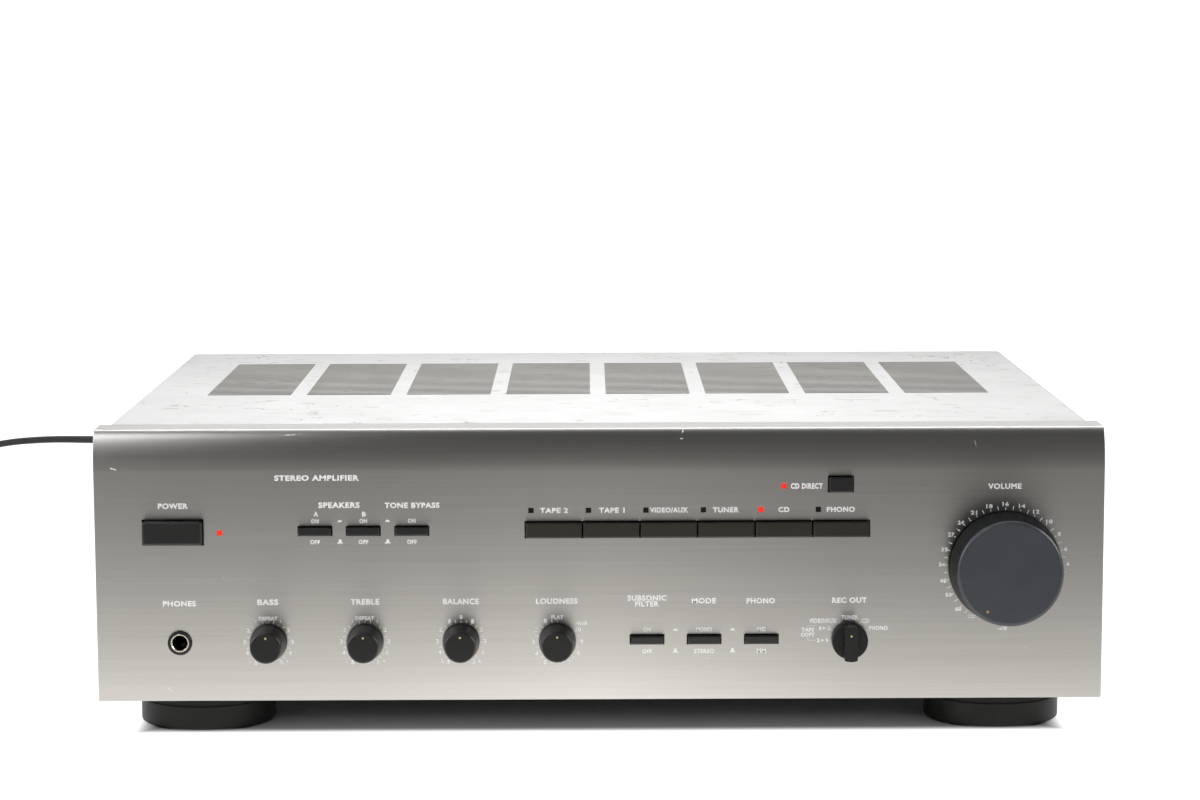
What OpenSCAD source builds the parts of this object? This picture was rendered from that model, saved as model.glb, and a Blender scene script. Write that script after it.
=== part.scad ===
// Integrated stereo amplifier, full width, with its captive mains lead.
// Millimetres, +Z up, front panel towards -Y, +X to the right seen from the front.
// The origin is on the table, at the middle of the amplifier's own box.
// Modules are written in case coordinates: y = 0 is the front panel's face, z = 0 the table.

/* [Case] */
// Width of the front panel
panel_w = 435; // [420:1:450]
// Height of the front panel
panel_h = 118; // [112:1:124]
// Thickness of the front panel's face
panel_t = 5; // [4:0.5:6]
// Depth of the flat lip along the panel's top edge
lip_d = 24; // [20:1:26]
// Width of the top cover
cover_w = 428; // [424:1:430]
// Depth from the panel's face to the cover's rear edge
case_d = 330; // [325:1:340]
// Sheet steel thickness
sheet_t = 1.2; // [1:0.1:1.5]

/* [Feet] */
// Height of a foot
foot_h = 14; // [12:1:16]
// Diameter of a foot
foot_d = 59; // [50:1:60]
// Sideways distance of the feet from the middle
foot_x = 173.5; // [165:0.5:180]
// Distance of the front feet's centres behind the panel's face
foot_front_y = 31.5; // [31:0.5:40]
// Distance of the rear feet's centres behind the panel's face
foot_rear_y = 285; // [270:1:295]

/* [Vents] */
// Number of vent fields across the cover
vent_fields = 8; // [6:1:8]
// Distance from one vent field to the next
vent_pitch = 46.9; // [46:0.1:47]
// Length of one slot, across the cover
vent_slot_l = 39.5; // [30:0.5:40]
// Width of one slot
vent_slot_w = 3.2; // [2:0.2:4]
// Number of slots in a field
vent_slots = 28; // [10:1:30]
// Where the fields start behind the panel's face
vent_front_y = 136; // [120:1:140]
// Length of a field, front to back
vent_field_d = 140; // [120:1:140]

/* [Controls] */
// Height of the upper row of buttons above the table
upper_row_z = 88; // [86:0.5:90]
// Height of the lower row of knobs and buttons above the table
lower_row_z = 39.6; // [38:0.2:42]
// Middle of the row of source keys
source_x = 42.25; // [40:0.25:45]
// Distance from one source key to the next
key_pitch = 24.75; // [24:0.25:25]
// Volume knob's axis, sideways
volume_x = 175; // [170:1:178]
// Volume knob's axis, above the table
volume_z = 71.8; // [70:0.1:75]
// Diameter of the volume knob
volume_d = 48.6; // [40:0.2:50]
// Length of the volume knob
volume_l = 20; // [18:1:26]
// Diameter of the small knobs
small_d = 16; // [14:0.1:18]
// Length of the small knobs
small_l = 13; // [12:1:18]
// Travel of a button
button_travel = 3.5; // [2:0.5:4]

/* [Rear] */
// Middle of the speaker terminal block, sideways
speaker_x = -70; // [-80:1:-60]
// Distance between speaker terminals
speaker_pitch = 25; // [20:1:26]
// Middle of the field of phono sockets, sideways
sockets_x = 105; // [100:1:110]
// Distance between the pairs of phono sockets
socket_pitch = 22; // [18:1:22]

/* [Mains lead] */
// Width of the flat lead
lead_w = 5.4; // [5:0.2:6.4]
// Thickness of the flat lead
lead_t = 3.4; // [3:0.1:4]
// Height of the lead where it leaves the case
lead_exit_z = 80; // [75:1:85]
// Where the lead leaves the case, sideways
lead_exit_x = -186; // [-190:1:-180]

/* [Hidden] */
$fn = 48;

// Colours
STEEL = "silver";
PAINT = "gainsboro";
PANEL = "gray";
BLACK = [0.12, 0.12, 0.13];
CHARCOAL = [0.24, 0.25, 0.28];
BOARD = "peru";
COPPER = "chocolate";
RED = "red";
GOLD = "goldenrod";

// Heights and depths of the case
case_z = foot_h;
top_z = foot_h + panel_h;
floor_z = case_z + sheet_t;
subpanel_back = panel_t + sheet_t;
rear_back = case_d - sheet_t;
rear_front = rear_back - sheet_t;
cover_inner_w = cover_w - 2 * sheet_t;
lip_t = 3.5;

// Rounded top edge of the front panel: a quarter of an ellipse
edge_d = 6.5;
edge_h = 18;
edge_steps = 10;

// Small gap round anything that moves in an opening, and gap of a joined pair
slot_gap = 0.5;
glue_gap = 0.05;
through = 0.5;

// Buttons: [x, z, cap width, cap height, how far it stands out]
POWER = [-183.8, 88, 25.6, 10.4, 4.5];
SPEAKER_A = [-122.5, upper_row_z + 0.4, 14, 3.4, 3];
SPEAKER_B = [-101.7, upper_row_z + 0.4, 14, 3.4, 3];
TONE_BYPASS = [-80.8, upper_row_z + 0.4, 14, 3.4, 3];
CD_DIRECT = [104, 108, 10.2, 6.2, 3];
SUBSONIC = [20.5, lower_row_z + 0.8, 14, 3.5, 3];
MODE = [45.2, lower_row_z + 0.8, 14, 3.5, 3];
PHONO_TYPE = [70, lower_row_z + 0.8, 14, 3.5, 3];
BUTTONS = [POWER, SPEAKER_A, SPEAKER_B, TONE_BYPASS, CD_DIRECT, SUBSONIC, MODE, PHONO_TYPE];
key_gap = 0.6;
key_h = 6.5;
key_out = 3;
KEYS = [for (i = [0:5]) [source_x + (i - 2.5) * key_pitch, upper_row_z + 0.6,
                         key_pitch - key_gap, key_h, key_out]];
cap_back = 4;
stem = 3;
stem_end = 26;
switch_front = 10;
switch_back = 36;

// Small knobs: sideways places along the lower row
BASS_X = -143.4;
TREBLE_X = -101.6;
BALANCE_X = -60;
LOUDNESS_X = -18.3;
REC_OUT_X = 108.2;
SMALL_X = [BASS_X, TREBLE_X, BALANCE_X, LOUDNESS_X];
PHONES_X = -181.7;
shaft_r = 3;
shaft_fit = 0.05;
shaft_end = 18;
bush_r = 4.5;
bush_hole_r = 5;
knob_gap = 0.6;

// Indicator windows: [x, z]
lamp = 2.1;
lamp_row_z = 97;
KEY_LAMPS = [for (i = [0:5]) [KEYS[i][0] - key_pitch / 2 + 2.6, lamp_row_z]];
LIT = [[-163.7, 87.7], KEY_LAMPS[4], [79.4, 107.2]];
UNLIT = [for (i = [0, 1, 2, 3, 5]) KEY_LAMPS[i]];

// Speaker terminals: upper row, then lower row, from left to right
SPEAKER_Z = [88, 54];
POSTS = [for (z = SPEAKER_Z) for (i = [0:3]) [speaker_x + (i - 1.5) * speaker_pitch, z]];
base_t = 4;
post_r = 3.5;
banana_r = 2.05;
post_end = case_d + 18;
cap_r = 6.5;
cap_fit = 0.05;
cap_start = rear_back + base_t + 0.5;
GROUND = [196, 48];
ground_r = 2;
ground_cap_r = 5.5;
ground_end = case_d + 13;

// Phono sockets: 8 pairs in two rows
SOCKET_Z = [102, 80];
SOCKETS = [for (z = SOCKET_Z) for (i = [0:7]) [sockets_x + (i - 3.5) * socket_pitch, z]];
socket_r = 4.15;
socket_l = 9.5;
socket_hole_r = 1.6;
input_board_y = 312;
board_t = 1.6;

// The amplifier's own box runs from the volume knob's face to the terminal posts' ends
front_most = -volume_l - knob_gap;
origin_y = (front_most + post_end) / 2;

// Strain relief and route of the lead, in case coordinates, as far as the coil
relief_end = case_d + 24;
LEAD = [
    [lead_exit_x, relief_end, lead_exit_z], [lead_exit_x, relief_end + 10, lead_exit_z],
    [-187.5, 374, 79.7], [-192.5, 383, 79.2], [-201, 390.5, 78.6],
    [-213, 395.5, 78.1], [-230, 397.5, 77.8], [-254, 397.5, 77.9], [-279, 396.5, 78.2],
    [-304, 395.5, 78.4], [-328, 394.5, 76.4], [-350, 393.5, 70.6], [-370, 392.5, 60],
    [-387, 391.5, 46], [-400, 390.5, 31], [-412, 389, 17.5], [-426, 386.5, 7.5],
    [-442, 382.5, 3.3], [-456, 379.4, 2.4]
];
lead_sides = 10;
lead_r = (lead_w + lead_t) / 4;
coil_x = -470;
coil_y = 338;
coil_mid_r = 32;
turn_pitch = lead_w + 0.2;
coil_half_w = 2 * turn_pitch + 0.1;
coil_h = 3 * (lead_t + 0.1) + 0.2;
plug_x = coil_x - coil_mid_r - 1.5 * turn_pitch;
plug_y = coil_y - 20;
plug_h = 13.7;
plug_w = 35.3;
plug_tail = 22;
plug_body = 34;
plug_pin_r = 2;
plug_pin_l = 19;
plug_pin_pitch = 18.6;

// ---- helpers ----

// Moves case coordinates to the origin of the part
module placed() {
    translate([0, -origin_y, 0]) children();
}

// Box given by its lowest and highest corners
module corner_box(low, high) {
    translate(low) cube(high - low);
}

// Turned shape whose profile's height points out of the front panel
module facing_front(x, z, y = 0) {
    translate([x, y, z]) rotate([90, 0, 0]) children();
}

// Turned shape whose profile's height points out of the back
module facing_back(x, z, y = 0) {
    translate([x, y, z]) rotate([-90, 0, 0]) children();
}

// Opening in a front sheet for a button, with a gap all round
module button_opening(b, depth) {
    w = b[2] + 2 * slot_gap;
    h = b[3] + 2 * slot_gap;
    translate([b[0] - w / 2, -through, b[1] - h / 2]) cube([w, depth + 2 * through, h]);
}

module source_opening(depth) {
    w = 6 * key_pitch - key_gap + 2 * slot_gap;
    h = key_h + 2 * slot_gap;
    translate([source_x - w / 2, -through, KEYS[0][1] - h / 2]) cube([w, depth + 2 * through, h]);
}

module shaft_openings(depth) {
    for (x = concat(SMALL_X, [REC_OUT_X]))
        facing_back(x, lower_row_z, -through) cylinder(r = bush_hole_r, h = depth + 2 * through);
    facing_back(volume_x, volume_z, -through) cylinder(r = bush_hole_r, h = depth + 2 * through);
    facing_back(PHONES_X, lower_row_z, -through) cylinder(r = bush_hole_r, h = depth + 2 * through);
}

module lamp_openings(depth) {
    side = lamp + 0.2;
    for (p = concat(LIT, UNLIT))
        translate([p[0] - side / 2, -through, p[1] - side / 2]) cube([side, depth + 2 * through, side]);
}

// ---- case ----

// Side view of the front panel: face, elliptical top edge and the lip behind it
function panel_edge() = [
    for (i = [0:edge_steps])
        let (a = 90 * i / edge_steps)
        [edge_d * (1 - cos(a)), top_z - edge_h + edge_h * sin(a)]
];

module front_panel() {
    profile = concat([[panel_t, case_z], [0, case_z]], panel_edge(),
        [[lip_d, top_z], [lip_d, top_z - lip_t], [edge_d + 2, top_z - lip_t], [panel_t, top_z - edge_h]]);
    color(PANEL)
    difference() {
        translate([-panel_w / 2, 0, 0]) rotate([90, 0, 90]) linear_extrude(panel_w) polygon(profile);
        for (b = BUTTONS) button_opening(b, panel_t);
        source_opening(panel_t);
        shaft_openings(panel_t);
        lamp_openings(panel_t);
    }
}

// Steel frame that the panel, the switches and the controls are fixed to
module front_subpanel() {
    frame_z = top_z - edge_h - 1;
    half = cover_inner_w / 2;
    color(STEEL)
    difference() {
        union() {
            corner_box([-half, panel_t, floor_z], [half, subpanel_back, frame_z]);
            for (x = [-half, half - sheet_t])
                corner_box([x, panel_t, floor_z], [x + sheet_t, lip_d, frame_z]);
        }
        for (b = BUTTONS) button_opening(b, subpanel_back);
        source_opening(subpanel_back);
        shaft_openings(subpanel_back);
        lamp_openings(subpanel_back);
    }
}

BOARD_POSTS = [for (x = [-60, 60, 190]) for (y = [80, 290]) [x, y]];
board_z = floor_z + 7;
floor_slots = 9;

module bottom_chassis() {
    half = cover_inner_w / 2;
    flange_z = floor_z + 18;
    color(STEEL)
    difference() {
        union() {
            corner_box([-half, panel_t, case_z], [half, rear_front, floor_z]);
            for (side = [-1, 1])
                translate([side * (half - sheet_t / 2), (lip_d + rear_front) / 2, (floor_z + flange_z) / 2])
                    cube([sheet_t, rear_front - lip_d - 2, flange_z - floor_z], center = true);
            for (p = BOARD_POSTS)
                translate([p[0], p[1], floor_z - through]) cylinder(r = 3, h = board_z - floor_z + through);
        }
        for (x = [-140, 30]) for (i = [0:floor_slots - 1])
            translate([x - 30, 150 + i * 12, case_z - through]) cube([60, 4, sheet_t + 2 * through]);
        for (x = [-foot_x, foot_x]) for (y = [foot_front_y, foot_rear_y])
            translate([x, y, case_z - through]) cylinder(r = 2.2, h = sheet_t + 2 * through);
    }
}

module rear_panel() {
    half = cover_inner_w / 2;
    color(STEEL)
    difference() {
        union() {
            corner_box([-half, rear_front, case_z], [half, rear_back, top_z - sheet_t]);
            corner_box([-half, rear_front - 12, top_z - 2 * sheet_t], [half, rear_front, top_z - sheet_t]);
        }
        facing_back(lead_exit_x, lead_exit_z, rear_front - through)
            cylinder(r = 6.5, h = sheet_t + 2 * through);
        for (p = SOCKETS)
            facing_back(p[0], p[1], rear_front - through) cylinder(r = 3, h = sheet_t + 2 * through);
        for (p = POSTS)
            facing_back(p[0], p[1], rear_front - through) cylinder(r = 5, h = sheet_t + 2 * through);
        facing_back(GROUND[0], GROUND[1], rear_front - through)
            cylinder(r = ground_r, h = sheet_t + 2 * through);
    }
}

rear_flange_h = 12;
SIDE_SCREWS = [for (y = [60, 290]) [y, floor_z + 10]];
REAR_SCREW_X = [-150, 0, 150];

module vent_openings() {
    slot_pitch = (vent_field_d - vent_slot_w) / (vent_slots - 1);
    for (i = [0:vent_fields - 1]) for (j = [0:vent_slots - 1])
        translate([(i - (vent_fields - 1) / 2) * vent_pitch - vent_slot_l / 2,
                   vent_front_y + j * slot_pitch, top_z - sheet_t - through])
            cube([vent_slot_l, vent_slot_w, sheet_t + 2 * through]);
}

module top_cover() {
    half = cover_w / 2;
    color(PAINT)
    difference() {
        union() {
            corner_box([-half, lip_d + 0.2, case_z + 1], [half, case_d, top_z]);
            corner_box([-half, edge_d + 2.5, case_z + 1], [half, lip_d + 0.3, top_z - lip_t - 0.2]);
        }
        corner_box([-half + sheet_t, 0, 0], [half - sheet_t, rear_back, top_z - sheet_t]);
        corner_box([-half + sheet_t, 0, 0], [half - sheet_t, case_d + through, top_z - rear_flange_h]);
        vent_openings();
    }
}

// Pan-head screw lying along +Z, its head's underside at z = 0
module pan_screw(head_r, head_h, shank_r, shank_l) {
    cylinder(r = head_r, h = head_h);
    translate([0, 0, -shank_l]) cylinder(r = shank_r, h = shank_l + 0.1);
}

module cover_screws() {
    color(BLACK) {
        for (s = SIDE_SCREWS) {
            translate([cover_w / 2, s[0], s[1]]) rotate([0, 90, 0]) cylinder(r = 3.8, h = 2.4);
            translate([-cover_w / 2, s[0], s[1]]) rotate([0, -90, 0]) cylinder(r = 3.8, h = 2.4);
        }
        for (x = REAR_SCREW_X) facing_back(x, top_z - 7, case_d) cylinder(r = 3.8, h = 2.4);
    }
}

// ---- feet ----

module foot(x, y) {
    rim = 1.5;
    recess_r = 8;
    recess_h = 9;
    color(BLACK)
    translate([x, y, 0])
    rotate_extrude() polygon([
        [2.2, recess_h], [recess_r, recess_h], [recess_r, 0], [foot_d / 2 - rim, 0], [foot_d / 2, rim],
        [foot_d / 2, foot_h - 2], [foot_d / 2 - 1, foot_h], [2.2, foot_h]
    ]);
}

module foot_screws() {
    color(STEEL)
    for (x = [-foot_x, foot_x]) for (y = [foot_front_y, foot_rear_y])
        translate([x, y, 9]) rotate([180, 0, 0]) pan_screw(4.5, 2.6, 2.1, 9);
}

// ---- inside ----

core_x = -150;
core_y = 105;
core_w = 84;
core_d = 36;
core_h = 72;

module transformer_core() {
    window_w = 14;
    window_h = core_h - 28;
    color(CHARCOAL)
    difference() {
        corner_box([core_x - core_w / 2, core_y - core_d / 2, floor_z],
                   [core_x + core_w / 2, core_y + core_d / 2, floor_z + core_h]);
        for (side = [-1, 1])
            translate([core_x + side * (window_w / 2 + 14) - window_w / 2, core_y - core_d, floor_z + 14])
                cube([window_w, 2 * core_d, window_h]);
    }
}

module transformer_winding() {
    gap = 0.3;
    color(COPPER)
    difference() {
        corner_box([core_x - 28 + gap, core_y - core_d / 2 - 13, floor_z + 14 + gap],
                   [core_x + 28 - gap, core_y + core_d / 2 + 13, floor_z + core_h - 14 - gap]);
        corner_box([core_x - 14 - gap, core_y - core_d / 2 - gap, floor_z],
                   [core_x + 14 + gap, core_y + core_d / 2 + gap, floor_z + core_h]);
    }
}

sink_low = [-62, 172];
sink_w = 170;
sink_d = 36;
sink_plate = 6;
fin_pitch = 9;
fin_t = 2;

module heatsink() {
    fins = floor((sink_w - fin_t) / fin_pitch);
    color(BLACK)
    translate([sink_low[0], sink_low[1], board_z + board_t])
    linear_extrude(88) union() {
        square([sink_w, sink_plate]);
        for (i = [0:fins])
            translate([i * fin_pitch, sink_plate - 0.1]) square([fin_t, sink_d - sink_plate]);
    }
}

module power_transistors() {
    color(BLACK)
    for (i = [0:3]) {
        x = sink_low[0] + 22 + i * 40;
        corner_box([x - 8, sink_low[1] - 5, board_z + 20], [x + 8, sink_low[1], board_z + 42]);
        for (leg = [-5, 0, 5])
            corner_box([x + leg - 0.5, sink_low[1] - 3, board_z + board_t],
                       [x + leg + 0.5, sink_low[1] - 2, board_z + 20.5]);
    }
}

module main_board() {
    color(BOARD) corner_box([-72, 64, board_z], [200, 304, board_z + board_t]);
}

module filter_capacitors() {
    color(BLACK)
    for (x = [-20, 24]) translate([x, 115, board_z + board_t]) cylinder(r = 17.5, h = 50);
}

module input_board() {
    color(BOARD) corner_box([20, input_board_y, board_z + 20], [200, input_board_y + board_t, 112]);
}

pot_back = 22;

module tone_board() {
    color(BOARD) corner_box([-160, pot_back, floor_z + 4], [0, pot_back + board_t, 60]);
}

// Potentiometer: threaded bush through the frame, round case behind, bore for the shaft
module pot(x, z, case_r, back) {
    facing_back(x, z, 2) difference() {
        union() {
            cylinder(r = bush_r, h = subpanel_back);
            translate([0, 0, subpanel_back - 2]) cylinder(r = case_r, h = back - subpanel_back);
        }
        translate([0, 0, -1]) cylinder(r = shaft_r + shaft_fit, h = shaft_end);
    }
}

module control_pots() {
    color(STEEL) {
        for (x = SMALL_X) pot(x, lower_row_z, 8.5, pot_back);
        pot(REC_OUT_X, lower_row_z, 11, 30);
        pot(volume_x, volume_z, 14, 48);
    }
}

// Housing behind one button: two lugs reach the frame, and a square hole takes the stem
module switch_housing(b, width) {
    h = b[3] + 2 * slot_gap + 5;
    lug = 1.8;
    hole = stem + 1;
    difference() {
        union() {
            translate([b[0] - width / 2, switch_front, b[1] - h / 2])
                cube([width, switch_back - switch_front, h]);
            for (side = [-1, 1])
                translate([b[0] - width / 2, subpanel_back, b[1] + side * (h - lug) / 2 - lug / 2])
                    cube([width, switch_front - subpanel_back + 0.1, lug]);
        }
        translate([b[0] - hole / 2, switch_front - through, b[1] - hole / 2])
            cube([hole, stem_end + button_travel + 2 - switch_front, hole]);
    }
}

module push_switches() {
    color(PAINT) {
        for (b = BUTTONS) switch_housing(b, min(b[2], 12));
        for (k = KEYS) switch_housing(k, 12);
    }
}

// ---- sockets and terminals ----

module headphone_jack() {
    jack_r = 3.2;
    ring_t = 1.2;
    color(BLACK)
    difference() {
        union() {
            facing_front(PHONES_X, lower_row_z) cylinder(r = 5.3, h = ring_t);
            facing_back(PHONES_X, lower_row_z) cylinder(r = 4.6, h = subpanel_back + 2);
            translate([PHONES_X - 7, subpanel_back, lower_row_z - 7]) cube([14, 26, 14]);
        }
        facing_back(PHONES_X, lower_row_z, -ring_t - through) cylinder(r = jack_r, h = 30);
    }
}

// One phono socket: barrel outside the back, shank through it to the board
module phono_socket(p) {
    facing_back(p[0], p[1], rear_back) difference() {
        union() {
            cylinder(r = 5.5, h = 1);
            cylinder(r = socket_r, h = socket_l);
            translate([0, 0, input_board_y + board_t - rear_back])
                cylinder(r = 2.9, h = rear_back - input_board_y - board_t + 0.1);
        }
        translate([0, 0, socket_l - 8]) cylinder(r = socket_hole_r, h = 9);
    }
}

module phono_sockets() {
    color(GOLD) for (p = SOCKETS) phono_socket(p);
}

module terminal_base() {
    margin = 11;
    wide = 3 * speaker_pitch / 2 + margin;
    color(BLACK)
    difference() {
        corner_box([speaker_x - wide, rear_back, SPEAKER_Z[1] - margin],
                   [speaker_x + wide, rear_back + base_t, SPEAKER_Z[0] + margin]);
        for (p = POSTS)
            facing_back(p[0], p[1], rear_back - through) cylinder(r = post_r, h = base_t + 2 * through);
    }
}

// Tubular posts that take bare wire or a 4 mm plug, and the earth stud
module terminal_posts() {
    foot_y = rear_front - 6;
    color(GOLD) {
        for (p = POSTS) facing_back(p[0], p[1], foot_y) difference() {
            cylinder(r = post_r, h = post_end - foot_y);
            translate([0, 0, 8]) cylinder(r = banana_r, h = post_end - foot_y);
        }
        facing_back(GROUND[0], GROUND[1], foot_y) cylinder(r = ground_r, h = ground_end - foot_y);
    }
}

// Screw-down cap on a post, with grip grooves round it
module terminal_cap(i) {
    l = post_end - cap_start - 0.5;
    grooves = 16;
    tint = i % 2 == 0 ? RED : BLACK;
    color(tint)
    facing_back(POSTS[i][0], POSTS[i][1], cap_start) difference() {
        cylinder(r = cap_r, h = l);
        translate([0, 0, -1]) cylinder(r = post_r + cap_fit, h = l + 2);
        for (g = [0:grooves - 1]) rotate(360 * g / grooves)
            translate([cap_r - 0.5, -0.5, l * 0.35]) cube([1, 1, l]);
    }
}

module ground_terminal_cap() {
    l = 6;
    grooves = 16;
    color(STEEL)
    facing_back(GROUND[0], GROUND[1], rear_back + 1) difference() {
        cylinder(r = ground_cap_r, h = l);
        translate([0, 0, -1]) cylinder(r = ground_r + cap_fit, h = l + 2);
        for (g = [0:grooves - 1]) rotate(360 * g / grooves)
            translate([ground_cap_r - 0.4, -0.4, -1]) cube([1, 0.8, l + 2]);
    }
}

// ---- indicators ----

module lamp_window(p) {
    proud = 0.15;
    translate([p[0] - lamp / 2, -proud, p[1] - lamp / 2]) cube([lamp, subpanel_back + 4, lamp]);
}

module lit_indicators() {
    color(RED) for (p = LIT) lamp_window(p);
}

module unlit_indicators() {
    color("maroon") for (p = UNLIT) lamp_window(p);
}

// ---- knobs ----

module knob_shaft(x, z, from) {
    facing_back(x, z, -from) cylinder(r = shaft_r, h = from + shaft_end);
}

// Tapered knob with a rounded front edge, bored for its shaft
module round_knob(x, z, base_r, tip_r, l, edge) {
    hub_l = 2 * l / 3;
    facing_front(x, z, -knob_gap) difference() {
        rotate_extrude() polygon(concat(
            [[0, 0], [base_r, 0], [base_r, l * 0.12]],
            [for (i = [0:5]) let (a = 90 * i / 5) [tip_r - edge + edge * cos(a), l - edge + edge * sin(a)]],
            [[0, l]]));
        translate([0, 0, -1]) cylinder(r = shaft_r + glue_gap, h = hub_l + 1);
    }
    knob_shaft(x, z, knob_gap + hub_l - glue_gap);
}

module volume_knob() {
    color(CHARCOAL) round_knob(volume_x, volume_z, volume_d / 2, volume_d / 2 - 1.4, volume_l, 2);
}

module small_knob(x) {
    color(BLACK) round_knob(x, lower_row_z, small_d / 2, small_d / 2 - 1.2, small_l, 0.8);
}

// Selector: thin disc with a raised bar across it to turn it by
module rec_out_knob() {
    r = 7.8;
    disc_l = 3;
    bar_w = 5.6;
    bar_l = 10;
    neck_r = shaft_r - 0.6;
    bore_l = 6;
    color(BLACK) {
        facing_front(REC_OUT_X, lower_row_z, -knob_gap) difference() {
            union() {
                cylinder(r = r, h = disc_l);
                intersection() {
                    cylinder(r = r - 0.2, h = bar_l);
                    translate([-bar_w / 2, -r, 0]) cube([bar_w, 2 * r, bar_l]);
                }
            }
            translate([0, 0, -1]) cylinder(r = neck_r + glue_gap, h = bore_l + 1);
        }
        facing_back(REC_OUT_X, lower_row_z, -knob_gap - bore_l + glue_gap)
            cylinder(r = neck_r, h = bore_l + 2);
        facing_back(REC_OUT_X, lower_row_z, 0.6) cylinder(r = shaft_r, h = shaft_end - 0.6);
    }
}

// ---- buttons ----

// Cap with a square stem behind it
module button(b) {
    color(BLACK) union() {
        translate([b[0] - b[2] / 2, -b[4], b[1] - b[3] / 2]) cube([b[2], b[4] + cap_back, b[3]]);
        translate([b[0] - stem / 2, cap_back - 0.1, b[1] - stem / 2])
            cube([stem, stem_end - cap_back + 0.1, stem]);
    }
}

// ---- mains lead ----

// Tapered sleeve that keeps the lead from kinking at the back of the case
module strain_relief() {
    start = rear_front - 6;
    neck = rear_back - start;
    color(BLACK)
    facing_back(lead_exit_x, lead_exit_z, start) rotate_extrude() polygon([
        [0, 0], [8, 0], [8, 6], [6.5, 6], [6.5, neck], [8, neck], [8, neck + 2.5], [5.6, neck + 3.5],
        [3.6, relief_end - start], [0, relief_end - start]
    ]);
}

function unit(v) = v / norm(v);

// Direction of the route at point i
function heading(route, i) =
    i == 0 ? unit(route[1] - route[0]) :
    i == len(route) - 1 ? unit(route[i] - route[i - 1]) :
    unit(route[i + 1] - route[i - 1]);

// Ring of points round the route at point i
function ring(route, i, r, sides) =
    let (t = heading(route, i), across = unit(cross(t, [0, 0, 1])), up = cross(across, t))
    [for (s = [0:sides - 1]) route[i] + r * (cos(360 * s / sides) * across + sin(360 * s / sides) * up)];

module tube(route, r, sides) {
    n = len(route);
    points = [for (i = [0:n - 1]) for (p = ring(route, i, r, sides)) p];
    walls = [for (i = [0:n - 2]) for (s = [0:sides - 1])
        let (a = i * sides + s, b = i * sides + (s + 1) % sides) [a, b, b + sides, a + sides]];
    ends = [[for (s = [sides - 1:-1:0]) s], [for (s = [0:sides - 1]) (n - 1) * sides + s]];
    polyhedron(points = points, faces = concat(walls, ends), convexity = 10);
}

module mains_lead() {
    color(BLACK) tube(LEAD, lead_r, lead_sides);
}

module mains_coil() {
    chamfer = 3;
    inner = coil_mid_r - coil_half_w;
    outer = coil_mid_r + coil_half_w;
    color(BLACK)
    translate([coil_x, coil_y, 0]) rotate_extrude() polygon([
        [inner, 0], [outer, 0], [outer, coil_h - chamfer], [outer - chamfer, coil_h],
        [inner + chamfer, coil_h], [inner, coil_h - chamfer]
    ]);
}

// Flat two-pin plug lying on the table, its pins pointing along -Y
module mains_plug() {
    nose = 9;
    front = plug_tail + plug_body;
    color(BLACK)
    translate([plug_x, plug_y, 0]) rotate(-90) union() {
        translate([0, 0, plug_h / 2]) rotate([0, 90, 0]) cylinder(r1 = 3.4, r2 = 5, h = plug_tail + 2);
        linear_extrude(plug_h) polygon([
            [plug_tail, -nose], [plug_tail, nose], [front - 12, plug_w / 2], [front, plug_w / 2],
            [front, -plug_w / 2], [front - 12, -plug_w / 2]
        ]);
        for (side = [-1, 1])
            translate([front - 1, side * plug_pin_pitch / 2, plug_h / 2])
                rotate([0, 90, 0]) cylinder(r = plug_pin_r, h = plug_pin_l + 1);
    }
}

// ---- all nodes ----

placed() bottom_chassis();
placed() front_subpanel();
placed() front_panel();
placed() rear_panel();
placed() top_cover();
placed() foot(-foot_x, foot_front_y);  // foot_front_left
placed() foot(foot_x, foot_front_y);  // foot_front_right
placed() foot(-foot_x, foot_rear_y);  // foot_rear_left
placed() foot(foot_x, foot_rear_y);  // foot_rear_right
placed() foot_screws();
placed() cover_screws();
placed() transformer_core();
placed() transformer_winding();
placed() heatsink();
placed() power_transistors();
placed() main_board();
placed() filter_capacitors();
placed() input_board();
placed() tone_board();
placed() control_pots();
placed() push_switches();
placed() phono_sockets();
placed() terminal_base();
placed() terminal_posts();
placed() strain_relief();
placed() mains_lead();
placed() mains_coil();
placed() mains_plug();
placed() headphone_jack();
placed() lit_indicators();
placed() unlit_indicators();
placed() volume_knob();
placed() small_knob(BASS_X);  // bass_knob
placed() small_knob(TREBLE_X);  // treble_knob
placed() small_knob(BALANCE_X);  // balance_knob
placed() small_knob(LOUDNESS_X);  // loudness_knob
placed() rec_out_knob();
placed() button(POWER);  // power_button
placed() button(SPEAKER_A);  // speaker_a_button
placed() button(SPEAKER_B);  // speaker_b_button
placed() button(TONE_BYPASS);  // tone_bypass_button
placed() button(CD_DIRECT);  // cd_direct_button
placed() button(KEYS[0]);  // tape_2_key
placed() button(KEYS[1]);  // tape_1_key
placed() button(KEYS[2]);  // video_key
placed() button(KEYS[3]);  // tuner_key
placed() button(KEYS[4]);  // cd_key
placed() button(KEYS[5]);  // phono_key
placed() button(SUBSONIC);  // subsonic_button
placed() button(MODE);  // mode_button
placed() button(PHONO_TYPE);  // phono_type_button
placed() terminal_cap(0);  // terminal_cap_1
placed() terminal_cap(1);  // terminal_cap_2
placed() terminal_cap(2);  // terminal_cap_3
placed() terminal_cap(3);  // terminal_cap_4
placed() terminal_cap(4);  // terminal_cap_5
placed() terminal_cap(5);  // terminal_cap_6
placed() terminal_cap(6);  // terminal_cap_7
placed() terminal_cap(7);  // terminal_cap_8
placed() ground_terminal_cap();
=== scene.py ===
"""Integrated stereo amplifier: the looks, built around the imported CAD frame.

Sizes are millimetres in case coordinates, as in the CAD source: y = 0 is the front panel's
face, z = 0 the table, +X to the right seen from the front. to_frame() turns them into metres
in the frame's own coordinates. Places come from the CAD nodes' boxes wherever a node has them.
"""

import math

import bmesh
import bpy
from mathutils import Matrix, Vector


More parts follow.
